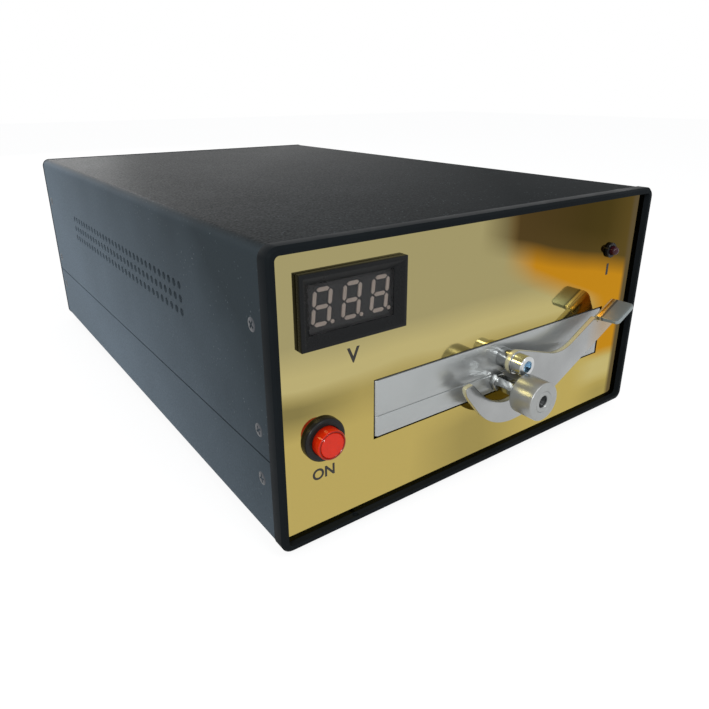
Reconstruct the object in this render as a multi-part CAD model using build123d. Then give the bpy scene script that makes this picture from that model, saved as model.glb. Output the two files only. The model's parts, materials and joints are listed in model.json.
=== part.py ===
from build123d import *
import math
import os

# Flash stamp machine: a desk-top box with a drawer cassette that holds a stamp blank under a glass,
# lit by two flash tubes. Millimetres, +Z up, +X to the right seen from the front, +Y to the back.
# The origin is on the resting plane, under the middle of the whole from knob to fuse cap.

# Case
CASE_WIDTH = 226.0
CASE_HEIGHT = 122.0
CASE_DEPTH = 352.0
FOOT_HEIGHT = 4.0
SHELL = 1.2
CASE_CORNER = 5.0
SEAM_HEIGHT = 39.0
SEAM_GAP = 0.8

# End frames
BEZEL_DEPTH = 6.5
BEZEL_RIM = 3.0
BEZEL_EDGE = 1.0
BEZEL_STEP = 0.3
PANEL_RECESS = 2.8
PANEL_SHEET = 2.0
REAR_LIP = 1.5
REAR_RECESS = 1.5
FLANGE_END = 18.5
FLANGE_WALL = 4.0
SINK_FROM_LEFT = 35.5
SINK_RADIUS = 1.3
SINK_DEPTH = 1.0
FIT = 0.15

# Side screws
SCREW_INSET = 14.5
REAR_SCREW_INSET = 9.5
SCREW_HEIGHTS = (28.0, 49.5, 92.0)
SCREW_HEAD = 6.0
SCREW_SHANK = 3.0
SCREW_LENGTH = 8.0
SMALL_SIDES = 6

# Side vents
VENT_COUNT = 31
VENT_ROWS = 3
VENT_PITCH = 6.3
VENT_HOLE = 3.8
VENT_START = 84.5
VENT_UNDER_TOP = 45.2

# Feet
FOOT_RADIUS = 9.0
FOOT_TAPER = 1.0
FOOT_INSET_X = 24.0
FOOT_INSET_Y = 30.5
FOOT_SINK = 2.6
FOOT_SCREW = 3.0
NUT_M3 = 2.4
NUT_M3_FLATS = 5.5

# Voltmeter
METER_FROM_LEFT = 36.0
METER_FROM_TOP = 25.3
METER_WIDTH = 48.0
METER_HEIGHT = 28.6
METER_PROUD = 2.6
METER_BORDER = 1.6
METER_BEVEL = 3.4
METER_BODY_WIDTH = 45.0
METER_BODY_HEIGHT = 26.0
METER_BODY_DEPTH = 22.0
METER_WALL = 1.5
METER_WINDOW = 1.2
METER_BLOCK = 7.0
BOARD = 1.6
DIGIT_RELIEF = 0.4
DIGIT_HEIGHT = 14.5
DIGIT_WIDTH = 8.3
DIGIT_PITCH = 13.1
DIGIT_STROKE = 1.5
DIGIT_SHIFT = 0.5
DIGIT_DOT = 1.8
DIGIT_SLANT = 6.0

# Start button
BUTTON_FROM_LEFT = 21.4
BUTTON_Z = 44.0
BUTTON_COLLAR = 18.3
BUTTON_COLLAR_PROUD = 2.4
BUTTON_HOLE = 16.0
BUTTON_CAP = 12.4
BUTTON_PROUD = 6.8
BUTTON_BODY_DEPTH = 24.0
BUTTON_BORE = 14.0
BUTTON_CAP_LENGTH = 14.0
BUTTON_BEVEL = 1.4
BUTTON_CAP_EDGE = 0.4
BUTTON_NUT = 3.0
SPRING_WIRE = 0.8
SPRING_RADIUS = 4.4
SPRING_TURNS = 3
SPRING_SIDES = 4

# Indicator lamp
LAMP_FROM_RIGHT = 28.0
LAMP_FROM_TOP = 29.8
LAMP_RING = 8.6
LAMP_HOLE = 6.4
LAMP_DOME = 5.0
LAMP_RING_PROUD = 2.2
LAMP_DOME_PROUD = 5.4
LAMP_RING_EDGE = 0.5
LAMP_BARREL = 12.0
LAMP_NUT = 2.0
NUT_RIM = 2.0

# Drawer cassette
SLOT_FROM_LEFT = 45.9
SLOT_FROM_RIGHT = 27.5
SLOT_LOW = 34.7
SLOT_HIGH = 61.7
BAR_GAP_X = 1.0
BAR_GAP_Z = 0.9
BAR_SEAM = 44.8
BAR_PARTING = 0.35
BAR_DEPTH = 10.0
BAR_PROUD = 0.3
BAR_CHAMFER = 0.8
TRAY_INSET = 3.0
TRAY_SHORT = 15.0
TRAY_WALL = 3.0
TRAY_FLOOR = 2.5
RUNNER_WIDTH = 2.7
RUNNER_HEIGHT = 3.0
RUNNER_START = 20.0
RUNNER_HOLD = 25.0
CUSHION = 3.0
CUSHION_CROWN = 0.4
CUSHION_GAP = 3.0
GLASS = 4.0
GLASS_LIFT = 2.2
GLASS_SEAT = 3.0
CLAMP_RIM = 4.0
UPSTAND = 3.0
UPSTAND_UNDER = 3.2
EAR_WIDTH = 5.0
HINGE_PIN = 4.0
HINGE_INSET = 4.3
PIN_REACH = 8.0
RUN = 0.05
PART_GAP = 0.3
M3 = 3.0
M3_HEAD = 2.4
BAR_SCREW_LEFT = 21.1
BAR_SCREW_RIGHT = 19.5
BAR_SCREW_LENGTH = 9.0
CLIP_LENGTH = 12.0
CLIP_WIDTH = 9.0
CLIP_SHEET = 1.0
CLIP_SPREAD = 40.0
M2 = 2.0
M2_HEAD = 1.8
M2_LENGTH = 4.0

# Latch
AXIS_FROM_SLOT = 76.0
PIVOT_OVER_SEAM = 7.5
LEVER_GAP = 3.15
LEVER_PLATE = 2.8
HUB_RADIUS = 5.6
SPACER_RADIUS = 4.8
PIVOT_SCREW = 6.0
PIVOT_REACH = 9.0
CAP_HEAD_RADIUS = 4.9
CAP_HEAD = 6.0
CAP_SOCKET = 5.0
CAP_SOCKET_DEPTH = 3.0
HOOK_OUTER = 29.7
HOOK_INNER = 18.0
HOOK_TIP = 32.4
HOOK_THROAT = 28.0
HOOK_TIP_ANGLE = -173.0
SLOT_END_ANGLE = -90.0
TIP_ROUND = 1.2
ARM_ANGLE = 29.0
ARM_LOW = -33.5
ARM_HIGH = -20.1
ARM_START = 20.0
ARM_END = 70.9
WEB_FALL = -17.0
WEB_ROUND = 22.0
SPIRAL_RISE = ((-110.0, 0.14), (-135.0, 0.33), (-155.0, 0.58))
TAB_WIDTH = 14.3
TAB_LENGTH = 14.3
TAB_BEND = 3.2
TAB_CORNER = 2.0

# Pull knob on its hexagonal standoff
KNOB_FROM_SLOT = 72.0
KNOB_UNDER_SEAM = 3.4
STANDOFF_FLATS = 6.5
STUD_RADIUS = 2.5
STUD_EMBED = 9.0
KNOB_RADIUS = 9.05
KNOB_LENGTH = 12.0
KNOB_FACE = 25.6
KNOB_BOSS = 0.8
KNOB_BOSS_RADIUS = 7.0
KNOB_EDGE = 0.7
KNOB_THREAD = 2.5
KNOB_HOLE_DEPTH = 7.0
KNOB_SINK = 1.0
KNOB_SOCKET = 3.8
NUT_FLATS = 8.0
NUT_THICK = 2.7

# Deck with its slide rails and drawer stop
DECK_SPREAD = 10.9
DECK_START = 20.0
DECK_UNDER = 0.7
DECK_SPARE = 6.0
DECK_SHEET = 1.6
DECK_FLANGE = 6.0
RAIL_WIDTH = 7.6
RAIL_HEIGHT = 10.0
RAIL_SPARE = 3.0
RAIL_PLAY = 0.3
STOP_WIDTH = 30.0
STOP_HEIGHT = 12.0
STOP_FOOT = 14.0
STOP_SHEET = 1.6

# Light box over the glass
PORTAL_FRONT = 30.0
PORTAL_SHORT = 5.0
PORTAL_SHEET = 1.6
PORTAL_LEG = 4.0
PORTAL_OVER = 0.3
PORTAL_UNDER_TOP = 14.0
REFLECTOR_OVER = 1.3
REFLECTOR_UNDER_TOP = 18.0
REFLECTOR_SIDE = 18.2
REFLECTOR_SLOPE = 27.0
REFLECTOR_SHEET = 1.0
TUBE_RADIUS = 5.0
TUBE_SPACING = 44.0
TUBE_UNDER_TOP = 36.0
HOLDER = 15.0
HOLDER_DEPTH = 8.0
COIL_INSET = 34.4
COIL_BEHIND = 26.0
COIL_RADIUS = 8.0
COIL_HEIGHT = 22.0
COIL_CHEEK = 1.6

# Power parts behind the drawer
POWER_BAY = 146.0
CAN_RADIUS = 25.0
CAN_HEIGHT = 96.0
CAN_PITCH = 58.0
CAN_FROM_LEFT = 41.0
CAN_BEHIND = 30.0
CAN_COUNT = 3
STRAP_HEIGHT = 10.0
STRAP_SHEET = 1.2
STRAP_LOW = 60.0
CORE_FROM_RIGHT = 43.0
CORE_FROM_REAR = 54.0
CORE_WIDTH = 57.0
CORE_HEIGHT = 48.0
CORE_DEPTH = 30.0
CORE_LIMB = 9.5
WINDING = 46.0
WINDING_ROUND = 4.0
BOARD_FROM_LEFT = 13.0
BOARD_GAP = 17.5
BOARD_LENGTH = 46.0
BOARD_FROM_REAR = 22.0
BOARD_LIFT = 8.0
BOARD_INSET = 5.0
CHIP_HEIGHT = 9.0
CHIP_COUNT = 4

# Rear fittings
INLET_FROM_LEFT = 53.0
REAR_Z = 40.0
INLET_WIDTH = 27.0
INLET_HEIGHT = 19.0
INLET_DEPTH = 20.0
INLET_FLANGE_WIDTH = 50.0
INLET_FLANGE_HEIGHT = 22.0
INLET_FLANGE = 3.0
INLET_SCREWS = 40.0
INLET_WALL = 1.8
INLET_CUT = 6.0
PIN_WIDTH = 2.0
PIN_HEIGHT = 4.0
PIN_SPREAD = 7.0
PIN_LENGTH = 12.0
PIN_STEP = 1.0
PIN_SINK = 4.0
PIN_ROOT = 3.0
SWITCH_STEP = 52.0
SWITCH_WIDTH = 13.0
SWITCH_HEIGHT = 19.2
SWITCH_DEPTH = 16.0
SWITCH_RIM = 1.0
SWITCH_BEZEL = 2.0
SWITCH_WALL = 1.3
ROCKER_TILT = 8.0
ROCKER_RADIUS = 8.0
ROCKER_RISE = 2.4
ROCKER_DIP = 1.2
ROCKER_ROOT = 4.0
ROCKER_PIN = 1.2
FUSE_STEP = 34.0
FUSE_RADIUS = 6.0
FUSE_RIM = 8.0
FUSE_DEPTH = 24.0
FUSE_BORE = 4.2
FUSE_CAP = 6.2
FUSE_CAP_LENGTH = 6.0
FUSE_PLUG = 12.0
FUSE_SLOT = 1.4
REAR_RIM = 2.0

KNOB_REACH = KNOB_FACE
FUSE_REACH = REAR_RIM + RUN + FUSE_CAP_LENGTH - REAR_RECESS
CASE_MIDDLE = (KNOB_REACH - FUSE_REACH) / 2
FRONT = CASE_MIDDLE - CASE_DEPTH / 2
REAR = CASE_MIDDLE + CASE_DEPTH / 2
FLOOR = FOOT_HEIGHT + BEZEL_STEP + SHELL
PANEL_FACE = FRONT + PANEL_RECESS
REAR_FACE = REAR - REAR_RECESS
REAR_INSIDE = REAR_FACE - PANEL_SHEET

# Places on the front, from the case's sides and top
LEFT_SIDE = -CASE_WIDTH / 2
RIGHT_SIDE = CASE_WIDTH / 2
SINK_X = LEFT_SIDE + SINK_FROM_LEFT
METER_X = LEFT_SIDE + METER_FROM_LEFT
METER_Z = CASE_HEIGHT - METER_FROM_TOP
BUTTON_X = LEFT_SIDE + BUTTON_FROM_LEFT
LAMP_X = RIGHT_SIDE - LAMP_FROM_RIGHT
LAMP_Z = CASE_HEIGHT - LAMP_FROM_TOP
SLOT_LEFT = LEFT_SIDE + SLOT_FROM_LEFT
SLOT_RIGHT = RIGHT_SIDE - SLOT_FROM_RIGHT
AXIS_X = SLOT_LEFT + AXIS_FROM_SLOT
PIVOT_Z = BAR_SEAM + PIVOT_OVER_SEAM
KNOB_X = SLOT_LEFT + KNOB_FROM_SLOT
KNOB_Z = BAR_SEAM - KNOB_UNDER_SEAM

# Places inside: the drawer takes the depth that the power parts leave
VENT_LOW = CASE_HEIGHT - VENT_UNDER_TOP
DECK_LEFT = SLOT_LEFT - DECK_SPREAD
DECK_RIGHT = SLOT_RIGHT + DECK_SPREAD
DECK_TOP = SLOT_LOW - DECK_UNDER
DECK_END = CASE_DEPTH - POWER_BAY
DRAWER_TRAVEL = DECK_END - DECK_SPARE - RUNNER_START - RUNNER_HOLD
TRAY_LENGTH = DRAWER_TRAVEL - TRAY_SHORT
UPSTAND_HIGH = SLOT_HIGH - UPSTAND_UNDER
PORTAL_REAR = DRAWER_TRAVEL - PORTAL_SHORT
PORTAL_LOW = SLOT_HIGH + PORTAL_OVER
PORTAL_HIGH = CASE_HEIGHT - PORTAL_UNDER_TOP
REFLECTOR_LOW = SLOT_HIGH + REFLECTOR_OVER
REFLECTOR_HIGH = CASE_HEIGHT - REFLECTOR_UNDER_TOP
REFLECTOR_BOTTOM = DECK_RIGHT - DECK_LEFT - 2 * REFLECTOR_SIDE
REFLECTOR_TOP = REFLECTOR_BOTTOM - 2 * REFLECTOR_SLOPE
TUBE_Z = CASE_HEIGHT - TUBE_UNDER_TOP
COIL_X = DECK_RIGHT - COIL_INSET
COIL_Y = PORTAL_REAR + COIL_BEHIND
CAN_FIRST_X = LEFT_SIDE + CAN_FROM_LEFT
CAN_Y = DECK_END + CAN_BEHIND
CORE_X = RIGHT_SIDE - CORE_FROM_RIGHT
CORE_Y = CASE_DEPTH - CORE_FROM_REAR
BOARD_LEFT = LEFT_SIDE + BOARD_FROM_LEFT
BOARD_RIGHT = CORE_X - CORE_WIDTH / 2 - BOARD_GAP
BOARD_REAR = CASE_DEPTH - BOARD_FROM_REAR
BOARD_FRONT = BOARD_REAR - BOARD_LENGTH
INLET_X = LEFT_SIDE + INLET_FROM_LEFT
SWITCH_X = INLET_X + SWITCH_STEP
FUSE_X = SWITCH_X + FUSE_STEP

# The cassette's own planes
BAR_LEFT = SLOT_LEFT + BAR_GAP_X
BAR_RIGHT = SLOT_RIGHT - BAR_GAP_X
BAR_MIDDLE = (BAR_LEFT + BAR_RIGHT) / 2
BAR_SCREWS = (BAR_LEFT + BAR_SCREW_LEFT, BAR_RIGHT - BAR_SCREW_RIGHT)
TRAY_LOW = FOOT_HEIGHT + SLOT_LOW + BAR_GAP_Z
TRAY_TOP = FOOT_HEIGHT + BAR_SEAM - BAR_PARTING / 2
CLAMP_LOW = FOOT_HEIGHT + BAR_SEAM + BAR_PARTING / 2
BAR_TOP = FOOT_HEIGHT + SLOT_HIGH - BAR_GAP_Z
LOWER_FACE = PANEL_FACE - BAR_PROUD
TRAY_LEFT = BAR_LEFT + TRAY_INSET
TRAY_RIGHT = BAR_RIGHT - TRAY_INSET
TRAY_FRONT = LOWER_FACE + BAR_DEPTH
TRAY_REAR = TRAY_FRONT + TRAY_LENGTH
CLAMP_FRONT = PANEL_FACE + BAR_DEPTH
PIN_Y = TRAY_REAR - HINGE_INSET
GLASS_LOW = CLAMP_LOW + GLASS_LIFT
CLAMP_TOP = GLASS_LOW + GLASS
PIN_Z = (CLAMP_LOW + CLAMP_TOP) / 2
LEVER_BACK = FRONT - LEVER_GAP
LEVER_FRONT = LEVER_BACK - LEVER_PLATE
DECK_Z = FOOT_HEIGHT + DECK_TOP
RUNNER_FRONT = FRONT + RUNNER_START
RUNNER_REAR = RUNNER_FRONT + RUNNER_HOLD + DRAWER_TRAVEL


def up(z):
    """Height above the resting plane of a height above the case's bottom."""
    return z + FOOT_HEIGHT


def back(y):
    """Place along Y of a depth behind the bezel's front plane."""
    return FRONT + y


def box(x0, x1, y0, y1, z0, z1):
    """A block between two corners."""
    middle = Location(((x0 + x1) / 2, (y0 + y1) / 2, (z0 + z1) / 2))
    return middle * Box(x1 - x0, y1 - y0, z1 - z0)


def block_at(x, z, half_w, half_h, y0, y1):
    """A block along Y about its own axis."""
    return box(x - half_w, x + half_w, y0, y1, z - half_h, z + half_h)


def flat_sided(radius):
    """The six-sided outline, of a circle's area, of small fasteners and vents, which repeat."""
    corner = 2 * math.pi / SMALL_SIDES
    return RegularPolygon(radius * math.sqrt(corner / math.sin(corner)), SMALL_SIDES)


def bar(length, radius, small):
    """A centred bar along Z."""
    if small:
        return extrude(flat_sided(radius), length / 2, both=True)
    return Cylinder(radius, length)


def rod(x, z, y0, y1, radius, small=False):
    """A round bar along Y."""
    return Location((x, (y0 + y1) / 2, z), (90, 0, 0)) * bar(y1 - y0, radius, small)


def rod_x(y, z, x0, x1, radius, small=False):
    """A round bar along X."""
    return Location(((x0 + x1) / 2, y, z), (0, 90, 0)) * bar(x1 - x0, radius, small)


def post(x, y, z0, z1, radius, small=False):
    """A round bar along Z."""
    return Location((x, y, (z0 + z1) / 2)) * bar(z1 - z0, radius, small)


def frame_prism(width, height, radius, y0, y1):
    """A round-cornered block of the case's section, along Y."""
    section = RectangleRounded(width, height, radius)
    centre_z = FOOT_HEIGHT + CASE_HEIGHT / 2
    face = Plane(origin=(0, y0, centre_z), x_dir=(1, 0, 0), z_dir=(0, 1, 0)) * section
    return extrude(face, y1 - y0)


def write(name, shape):
    """Writes one node."""
    export_step(shape, "parts/" + name + ".step")


def front_plane(y):
    """A plane facing the user at Y, whose own axes run right and up."""
    return Plane(origin=(0, y, 0), x_dir=(1, 0, 0), z_dir=(0, -1, 0))


def hex_bar(x, z, y1, flats, reach):
    """A hexagonal bar along Y that ends at its back on Y."""
    hexagon = RegularPolygon(flats / 2, 6, major_radius=False)
    return extrude(Location((x, 0, z)) * (front_plane(y1) * hexagon), reach)


def group(solids):
    """Separate solids that share one node."""
    return Compound(children=solids)


def shell_ring(y0, y1):
    """The closed tube of sheet from which both shells are cut."""
    outer_width = CASE_WIDTH - 2 * BEZEL_STEP
    outer_height = CASE_HEIGHT - 2 * BEZEL_STEP
    outer_corner = CASE_CORNER - BEZEL_STEP
    outer = frame_prism(outer_width, outer_height, outer_corner, y0, y1)
    inner_width = outer_width - 2 * SHELL
    inner_height = outer_height - 2 * SHELL
    inner = frame_prism(inner_width, inner_height, outer_corner - SHELL, y0 - 1, y1 + 1)
    return outer - inner


def side_screw(side, y, z, play=0.0):
    """A countersunk screw in the case's side, or with play the hole that takes it."""
    face_x = side * (CASE_WIDTH / 2 - BEZEL_STEP)
    neck = flat_sided(SCREW_SHANK / 2 + play)
    rim = flat_sided(SCREW_HEAD / 2 + play)
    head = loft([Location((0, 0, -SHELL)) * neck, rim])
    shank = extrude(neck, -SCREW_LENGTH)
    return Location((face_x, y, z), (0, side * 90, 0)) * (head + shank)


def screw_places():
    """Side, Y and Z of each side screw."""
    places = []
    for side in (-1, 1):
        for y in (back(SCREW_INSET), REAR - REAR_SCREW_INSET):
            for height in SCREW_HEIGHTS:
                places.append((side, y, up(height)))
    return places


def foot_places():
    """X and Y of each foot."""
    x = CASE_WIDTH / 2 - FOOT_INSET_X
    y = CASE_DEPTH / 2 - FOOT_INSET_Y
    return [(sx * x, CASE_MIDDLE + sy * y) for sx in (-1, 1) for sy in (-1, 1)]


def make_shells():
    """Upper cover and lower base, bent from sheet and parted at the seam."""
    y0 = back(BEZEL_DEPTH) + FIT
    y1 = REAR - REAR_LIP - FIT
    ring = shell_ring(y0, y1)
    half = CASE_WIDTH
    cover = ring & box(-half, half, y0, y1, up(SEAM_HEIGHT + SEAM_GAP / 2), up(CASE_HEIGHT))
    base = ring & box(-half, half, y0, y1, 0, up(SEAM_HEIGHT - SEAM_GAP / 2))
    holes = []
    for row in range(VENT_ROWS):
        for column in range(VENT_COUNT):
            y = back(VENT_START + column * VENT_PITCH)
            z = up(VENT_LOW + row * VENT_PITCH)
            holes.append(rod_x(y, z, -half, half, VENT_HOLE / 2, small=True))
    cover -= holes
    screws = [side_screw(*place, play=FIT / 3) for place in screw_places()]
    cover -= screws
    base -= screws
    base -= [post(x, y, 0, FLOOR + 1, FOOT_SCREW / 2 + FIT, small=True) for x, y in foot_places()]
    write("top_cover", cover)
    write("base_tray", base)


def end_frame(lip, recess, screw_inset, edge):
    """Moulded frame at the front end: a lip, a flange that carries both shells, a ledge for the panel."""
    rim = frame_prism(CASE_WIDTH, CASE_HEIGHT, CASE_CORNER, FRONT, back(lip))
    rim = chamfer(rim.faces().sort_by(Axis.Y)[0].edges(), edge)
    cover_inside = BEZEL_STEP + SHELL + FIT
    flange_width = CASE_WIDTH - 2 * cover_inside
    flange_height = CASE_HEIGHT - 2 * cover_inside
    flange_corner = CASE_CORNER - cover_inside
    flange = frame_prism(flange_width, flange_height, flange_corner, back(lip), back(FLANGE_END))
    seat_width = CASE_WIDTH - 2 * BEZEL_RIM
    seat_height = CASE_HEIGHT - 2 * BEZEL_RIM
    seat_corner = CASE_CORNER - BEZEL_RIM
    seat_back = back(recess + PANEL_SHEET)
    seat = frame_prism(seat_width, seat_height, seat_corner, FRONT - 1, seat_back)
    throat_width = flange_width - 2 * FLANGE_WALL
    throat_height = flange_height - 2 * FLANGE_WALL
    throat = frame_prism(throat_width, throat_height, seat_corner, FRONT, back(FLANGE_END) + 1)
    body = rim + flange - seat - throat
    hole = SCREW_SHANK / 2 + FIT / 3
    for height in SCREW_HEIGHTS:
        body -= rod_x(back(screw_inset), up(height), -CASE_WIDTH / 2, CASE_WIDTH / 2, hole, small=True)
    return body


def make_end_frames():
    """Deep front bezel with its round sink mark, and the shallow frame at the rear."""
    bezel = end_frame(BEZEL_DEPTH, PANEL_RECESS, SCREW_INSET, BEZEL_EDGE)
    wall = up(BEZEL_RIM)
    bezel -= post(SINK_X, back(PANEL_RECESS / 2), wall - SINK_DEPTH, wall + SINK_DEPTH, SINK_RADIUS)
    write("front_bezel", bezel)
    rear = end_frame(REAR_LIP, REAR_RECESS, REAR_SCREW_INSET, REAR_LIP / 3)
    write("rear_frame", rear.mirror(Plane.XZ.offset(-CASE_MIDDLE)))


def panel_sheet(face_y):
    """A panel seated on an end frame's ledge."""
    inset = BEZEL_RIM + FIT
    width = CASE_WIDTH - 2 * inset
    height = CASE_HEIGHT - 2 * inset
    return frame_prism(width, height, CASE_CORNER - inset, face_y, face_y + PANEL_SHEET)


def make_front_panel():
    """Polished sheet with the drawer slot and three holes for the fittings."""
    through = PANEL_FACE + PANEL_SHEET + 1
    sheet = panel_sheet(PANEL_FACE)
    sheet -= box(SLOT_LEFT, SLOT_RIGHT, PANEL_FACE - 1, through, up(SLOT_LOW), up(SLOT_HIGH))
    half_w = METER_BODY_WIDTH / 2 + FIT
    half_h = METER_BODY_HEIGHT / 2 + FIT
    sheet -= block_at(METER_X, up(METER_Z), half_w, half_h, PANEL_FACE - 1, through)
    sheet -= rod(BUTTON_X, up(BUTTON_Z), PANEL_FACE - 1, through, BUTTON_HOLE / 2 + FIT)
    sheet -= rod(LAMP_X, up(LAMP_Z), PANEL_FACE - 1, through, LAMP_HOLE / 2 + FIT)
    write("front_panel", sheet)


def make_fasteners_and_feet():
    """Side screws, rubber feet, foot screws and their nuts."""
    write("side_screws", group([side_screw(*place) for place in screw_places()]))
    base_under = FOOT_HEIGHT + BEZEL_STEP
    hexagon = RegularPolygon(NUT_M3_FLATS / 2, 6, major_radius=False)
    feet = []
    screws = []
    nuts = []
    for x, y in foot_places():
        foot = Location((x, y, base_under / 2)) * Cone(FOOT_RADIUS - FOOT_TAPER, FOOT_RADIUS, base_under)
        foot -= post(x, y, -1, base_under + 1, FOOT_SCREW / 2 + FIT, small=True)
        foot -= post(x, y, -1, FOOT_SINK, FOOT_SCREW + FIT, small=True)
        feet.append(foot)
        head = post(x, y, FOOT_SINK - FOOT_SCREW / 2, FOOT_SINK, FOOT_SCREW, small=True)
        shank = post(x, y, FOOT_SINK, FLOOR + NUT_M3 + 1, FOOT_SCREW / 2, small=True)
        screws.append(head + shank)
        nut = Location((x, y, FLOOR)) * extrude(hexagon, NUT_M3)
        nuts.append(nut - post(x, y, FLOOR - 1, FLOOR + 2 * NUT_M3, FOOT_SCREW / 2, small=True))
    write("rubber_feet", group(feet))
    write("foot_screws", group(screws))
    write("foot_nuts", group(nuts))


def segment(x, z, length, upright, y0, y1):
    """One bar of a seven-segment digit, pointed at both ends."""
    half = length / 2
    w = DIGIT_STROKE / 2
    points = [(-half, 0), (-half + w, w), (half - w, w), (half, 0), (half - w, -w), (-half + w, -w)]
    if upright:
        points = [(b, a) for a, b in points]
    slant = math.tan(math.radians(DIGIT_SLANT))
    placed = [(x + a + (z + b) * slant, z + b) for a, b in points]
    outline = make_face(Polyline(*placed, close=True))
    centre = Location((METER_X, 0, up(METER_Z)))
    return centre * (front_plane(y1) * extrude(outline, y1 - y0))


def make_meter():
    """Voltmeter: framed case, smoked window, digits on their block, and the board behind."""
    z = up(METER_Z)
    face = PANEL_FACE - METER_PROUD
    body_back = PANEL_FACE + METER_BODY_DEPTH
    half_w = METER_BODY_WIDTH / 2
    half_h = METER_BODY_HEIGHT / 2
    case = block_at(METER_X, z, METER_WIDTH / 2, METER_HEIGHT / 2, face, PANEL_FACE)
    case += block_at(METER_X, z, half_w, half_h, PANEL_FACE, body_back)
    view_w = METER_WIDTH - 2 * METER_BORDER - 2 * METER_BEVEL
    view_h = METER_HEIGHT - 2 * METER_BORDER - 2 * METER_BEVEL
    mouth = Rectangle(view_w + 2 * METER_BEVEL, view_h + 2 * METER_BEVEL)
    outer = Location((METER_X, 0, z)) * (front_plane(face) * mouth)
    inner = Location((METER_X, 0, z)) * (front_plane(PANEL_FACE) * Rectangle(view_w, view_h))
    case -= loft([outer, inner])
    inside_w = half_w - METER_WALL
    inside_h = half_h - METER_WALL
    case -= block_at(METER_X, z, inside_w, inside_h, PANEL_FACE, body_back + 1)
    write("meter_case", case)
    fit_w = inside_w - FIT
    fit_h = inside_h - FIT
    window_back = PANEL_FACE + METER_WINDOW
    write("meter_window", block_at(METER_X, z, fit_w, fit_h, PANEL_FACE, window_back))
    digit_face = window_back + FIT
    block_face = digit_face + DIGIT_RELIEF
    block_back = block_face + METER_BLOCK
    write("meter_block", block_at(METER_X, z, fit_w, fit_h, block_face, block_back))
    bars = []
    span = DIGIT_HEIGHT / 2 - DIGIT_STROKE
    side = (DIGIT_WIDTH - DIGIT_STROKE) / 2
    foot_shift = DIGIT_HEIGHT / 2 * math.tan(math.radians(DIGIT_SLANT))
    for digit in (-1, 0, 1):
        x = digit * DIGIT_PITCH + DIGIT_SHIFT
        for level in (-1, 0, 1):
            height = level * (DIGIT_HEIGHT - DIGIT_STROKE) / 2
            bars.append(segment(x, height, DIGIT_WIDTH - 2 * DIGIT_STROKE, False, digit_face, block_face))
        for sx in (-1, 1):
            for sz in (-1, 1):
                middle = sz * (DIGIT_HEIGHT - DIGIT_STROKE) / 4
                bars.append(segment(x + sx * side, middle, span, True, digit_face, block_face))
        dot_x = METER_X + x + side + DIGIT_DOT - foot_shift
        dot_z = z - DIGIT_HEIGHT / 2 + DIGIT_STROKE / 2
        bars.append(rod(dot_x, dot_z, digit_face, block_face, DIGIT_STROKE / 2, small=True))
    write("meter_digits", group(bars))
    write("meter_board", block_at(METER_X, z, fit_w, fit_h, block_back, block_back + BOARD))


def make_button():
    """Push button: collar and body in one, ring nut, sliding cap."""
    z = up(BUTTON_Z)
    cap_radius = BUTTON_CAP / 2
    collar_face = PANEL_FACE - BUTTON_COLLAR_PROUD
    base_radius = BUTTON_COLLAR / 2
    collar = rod(BUTTON_X, z, collar_face, PANEL_FACE, base_radius)
    collar = chamfer(collar.faces().sort_by(Axis.Y)[0].edges(), BUTTON_BEVEL)
    barrel = rod(BUTTON_X, z, PANEL_FACE, PANEL_FACE + BUTTON_BODY_DEPTH, BUTTON_HOLE / 2)
    bore_back = PANEL_FACE + BUTTON_BORE
    body = collar + barrel - rod(BUTTON_X, z, collar_face - 1, bore_back, cap_radius + RUN)
    write("button_body", body)
    nut_front = PANEL_FACE + PANEL_SHEET
    nut = hex_bar(BUTTON_X, z, nut_front + BUTTON_NUT, BUTTON_HOLE + 2 * NUT_RIM, BUTTON_NUT)
    write("button_nut", nut - rod(BUTTON_X, z, nut_front - 1, nut_front + BUTTON_NUT + 1, BUTTON_HOLE / 2))
    cap_face = PANEL_FACE - BUTTON_PROUD
    cap_back = cap_face + BUTTON_CAP_LENGTH
    cap = rod(BUTTON_X, z, cap_face, cap_back, cap_radius)
    cap = chamfer(cap.faces().sort_by(Axis.Y)[0].edges(), BUTTON_CAP_EDGE)
    write("button_cap", cap)
    free_length = bore_back - cap_back - 2 * RUN - SPRING_WIRE
    coil = Helix(free_length / SPRING_TURNS, free_length, SPRING_RADIUS)
    wire = Plane(origin=coil @ 0, z_dir=coil % 0) * RegularPolygon(SPRING_WIRE / 2, SPRING_SIDES)
    spring = sweep(wire, path=coil)
    start = cap_back + RUN + SPRING_WIRE / 2
    write("button_spring", Location((BUTTON_X, start, z), (-90, 0, 0)) * spring)


def make_lamp():
    """Indicator lamp: ring with its barrel, domed lens, and the nut behind."""
    z = up(LAMP_Z)
    ring_face = PANEL_FACE - LAMP_RING_PROUD
    barrel_back = PANEL_FACE + LAMP_BARREL
    ring = rod(LAMP_X, z, ring_face, PANEL_FACE, LAMP_RING / 2)
    ring = chamfer(ring.faces().sort_by(Axis.Y)[0].edges(), LAMP_RING_EDGE)
    ring += rod(LAMP_X, z, PANEL_FACE, barrel_back, LAMP_HOLE / 2)
    ring -= rod(LAMP_X, z, ring_face - 1, barrel_back + 1, LAMP_DOME / 2)
    write("lamp_ring", ring)
    dome_radius = LAMP_DOME / 2
    dome_centre = PANEL_FACE - LAMP_DOME_PROUD + dome_radius
    lens = rod(LAMP_X, z, dome_centre, barrel_back, dome_radius)
    lens += Location((LAMP_X, dome_centre, z)) * Sphere(dome_radius)
    write("lamp_lens", lens)
    nut_front = PANEL_FACE + PANEL_SHEET
    nut = hex_bar(LAMP_X, z, nut_front + LAMP_NUT, LAMP_HOLE + 2 * NUT_RIM, LAMP_NUT)
    write("lamp_nut", nut - rod(LAMP_X, z, nut_front - 1, nut_front + LAMP_NUT + 1, LAMP_HOLE / 2))


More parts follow.
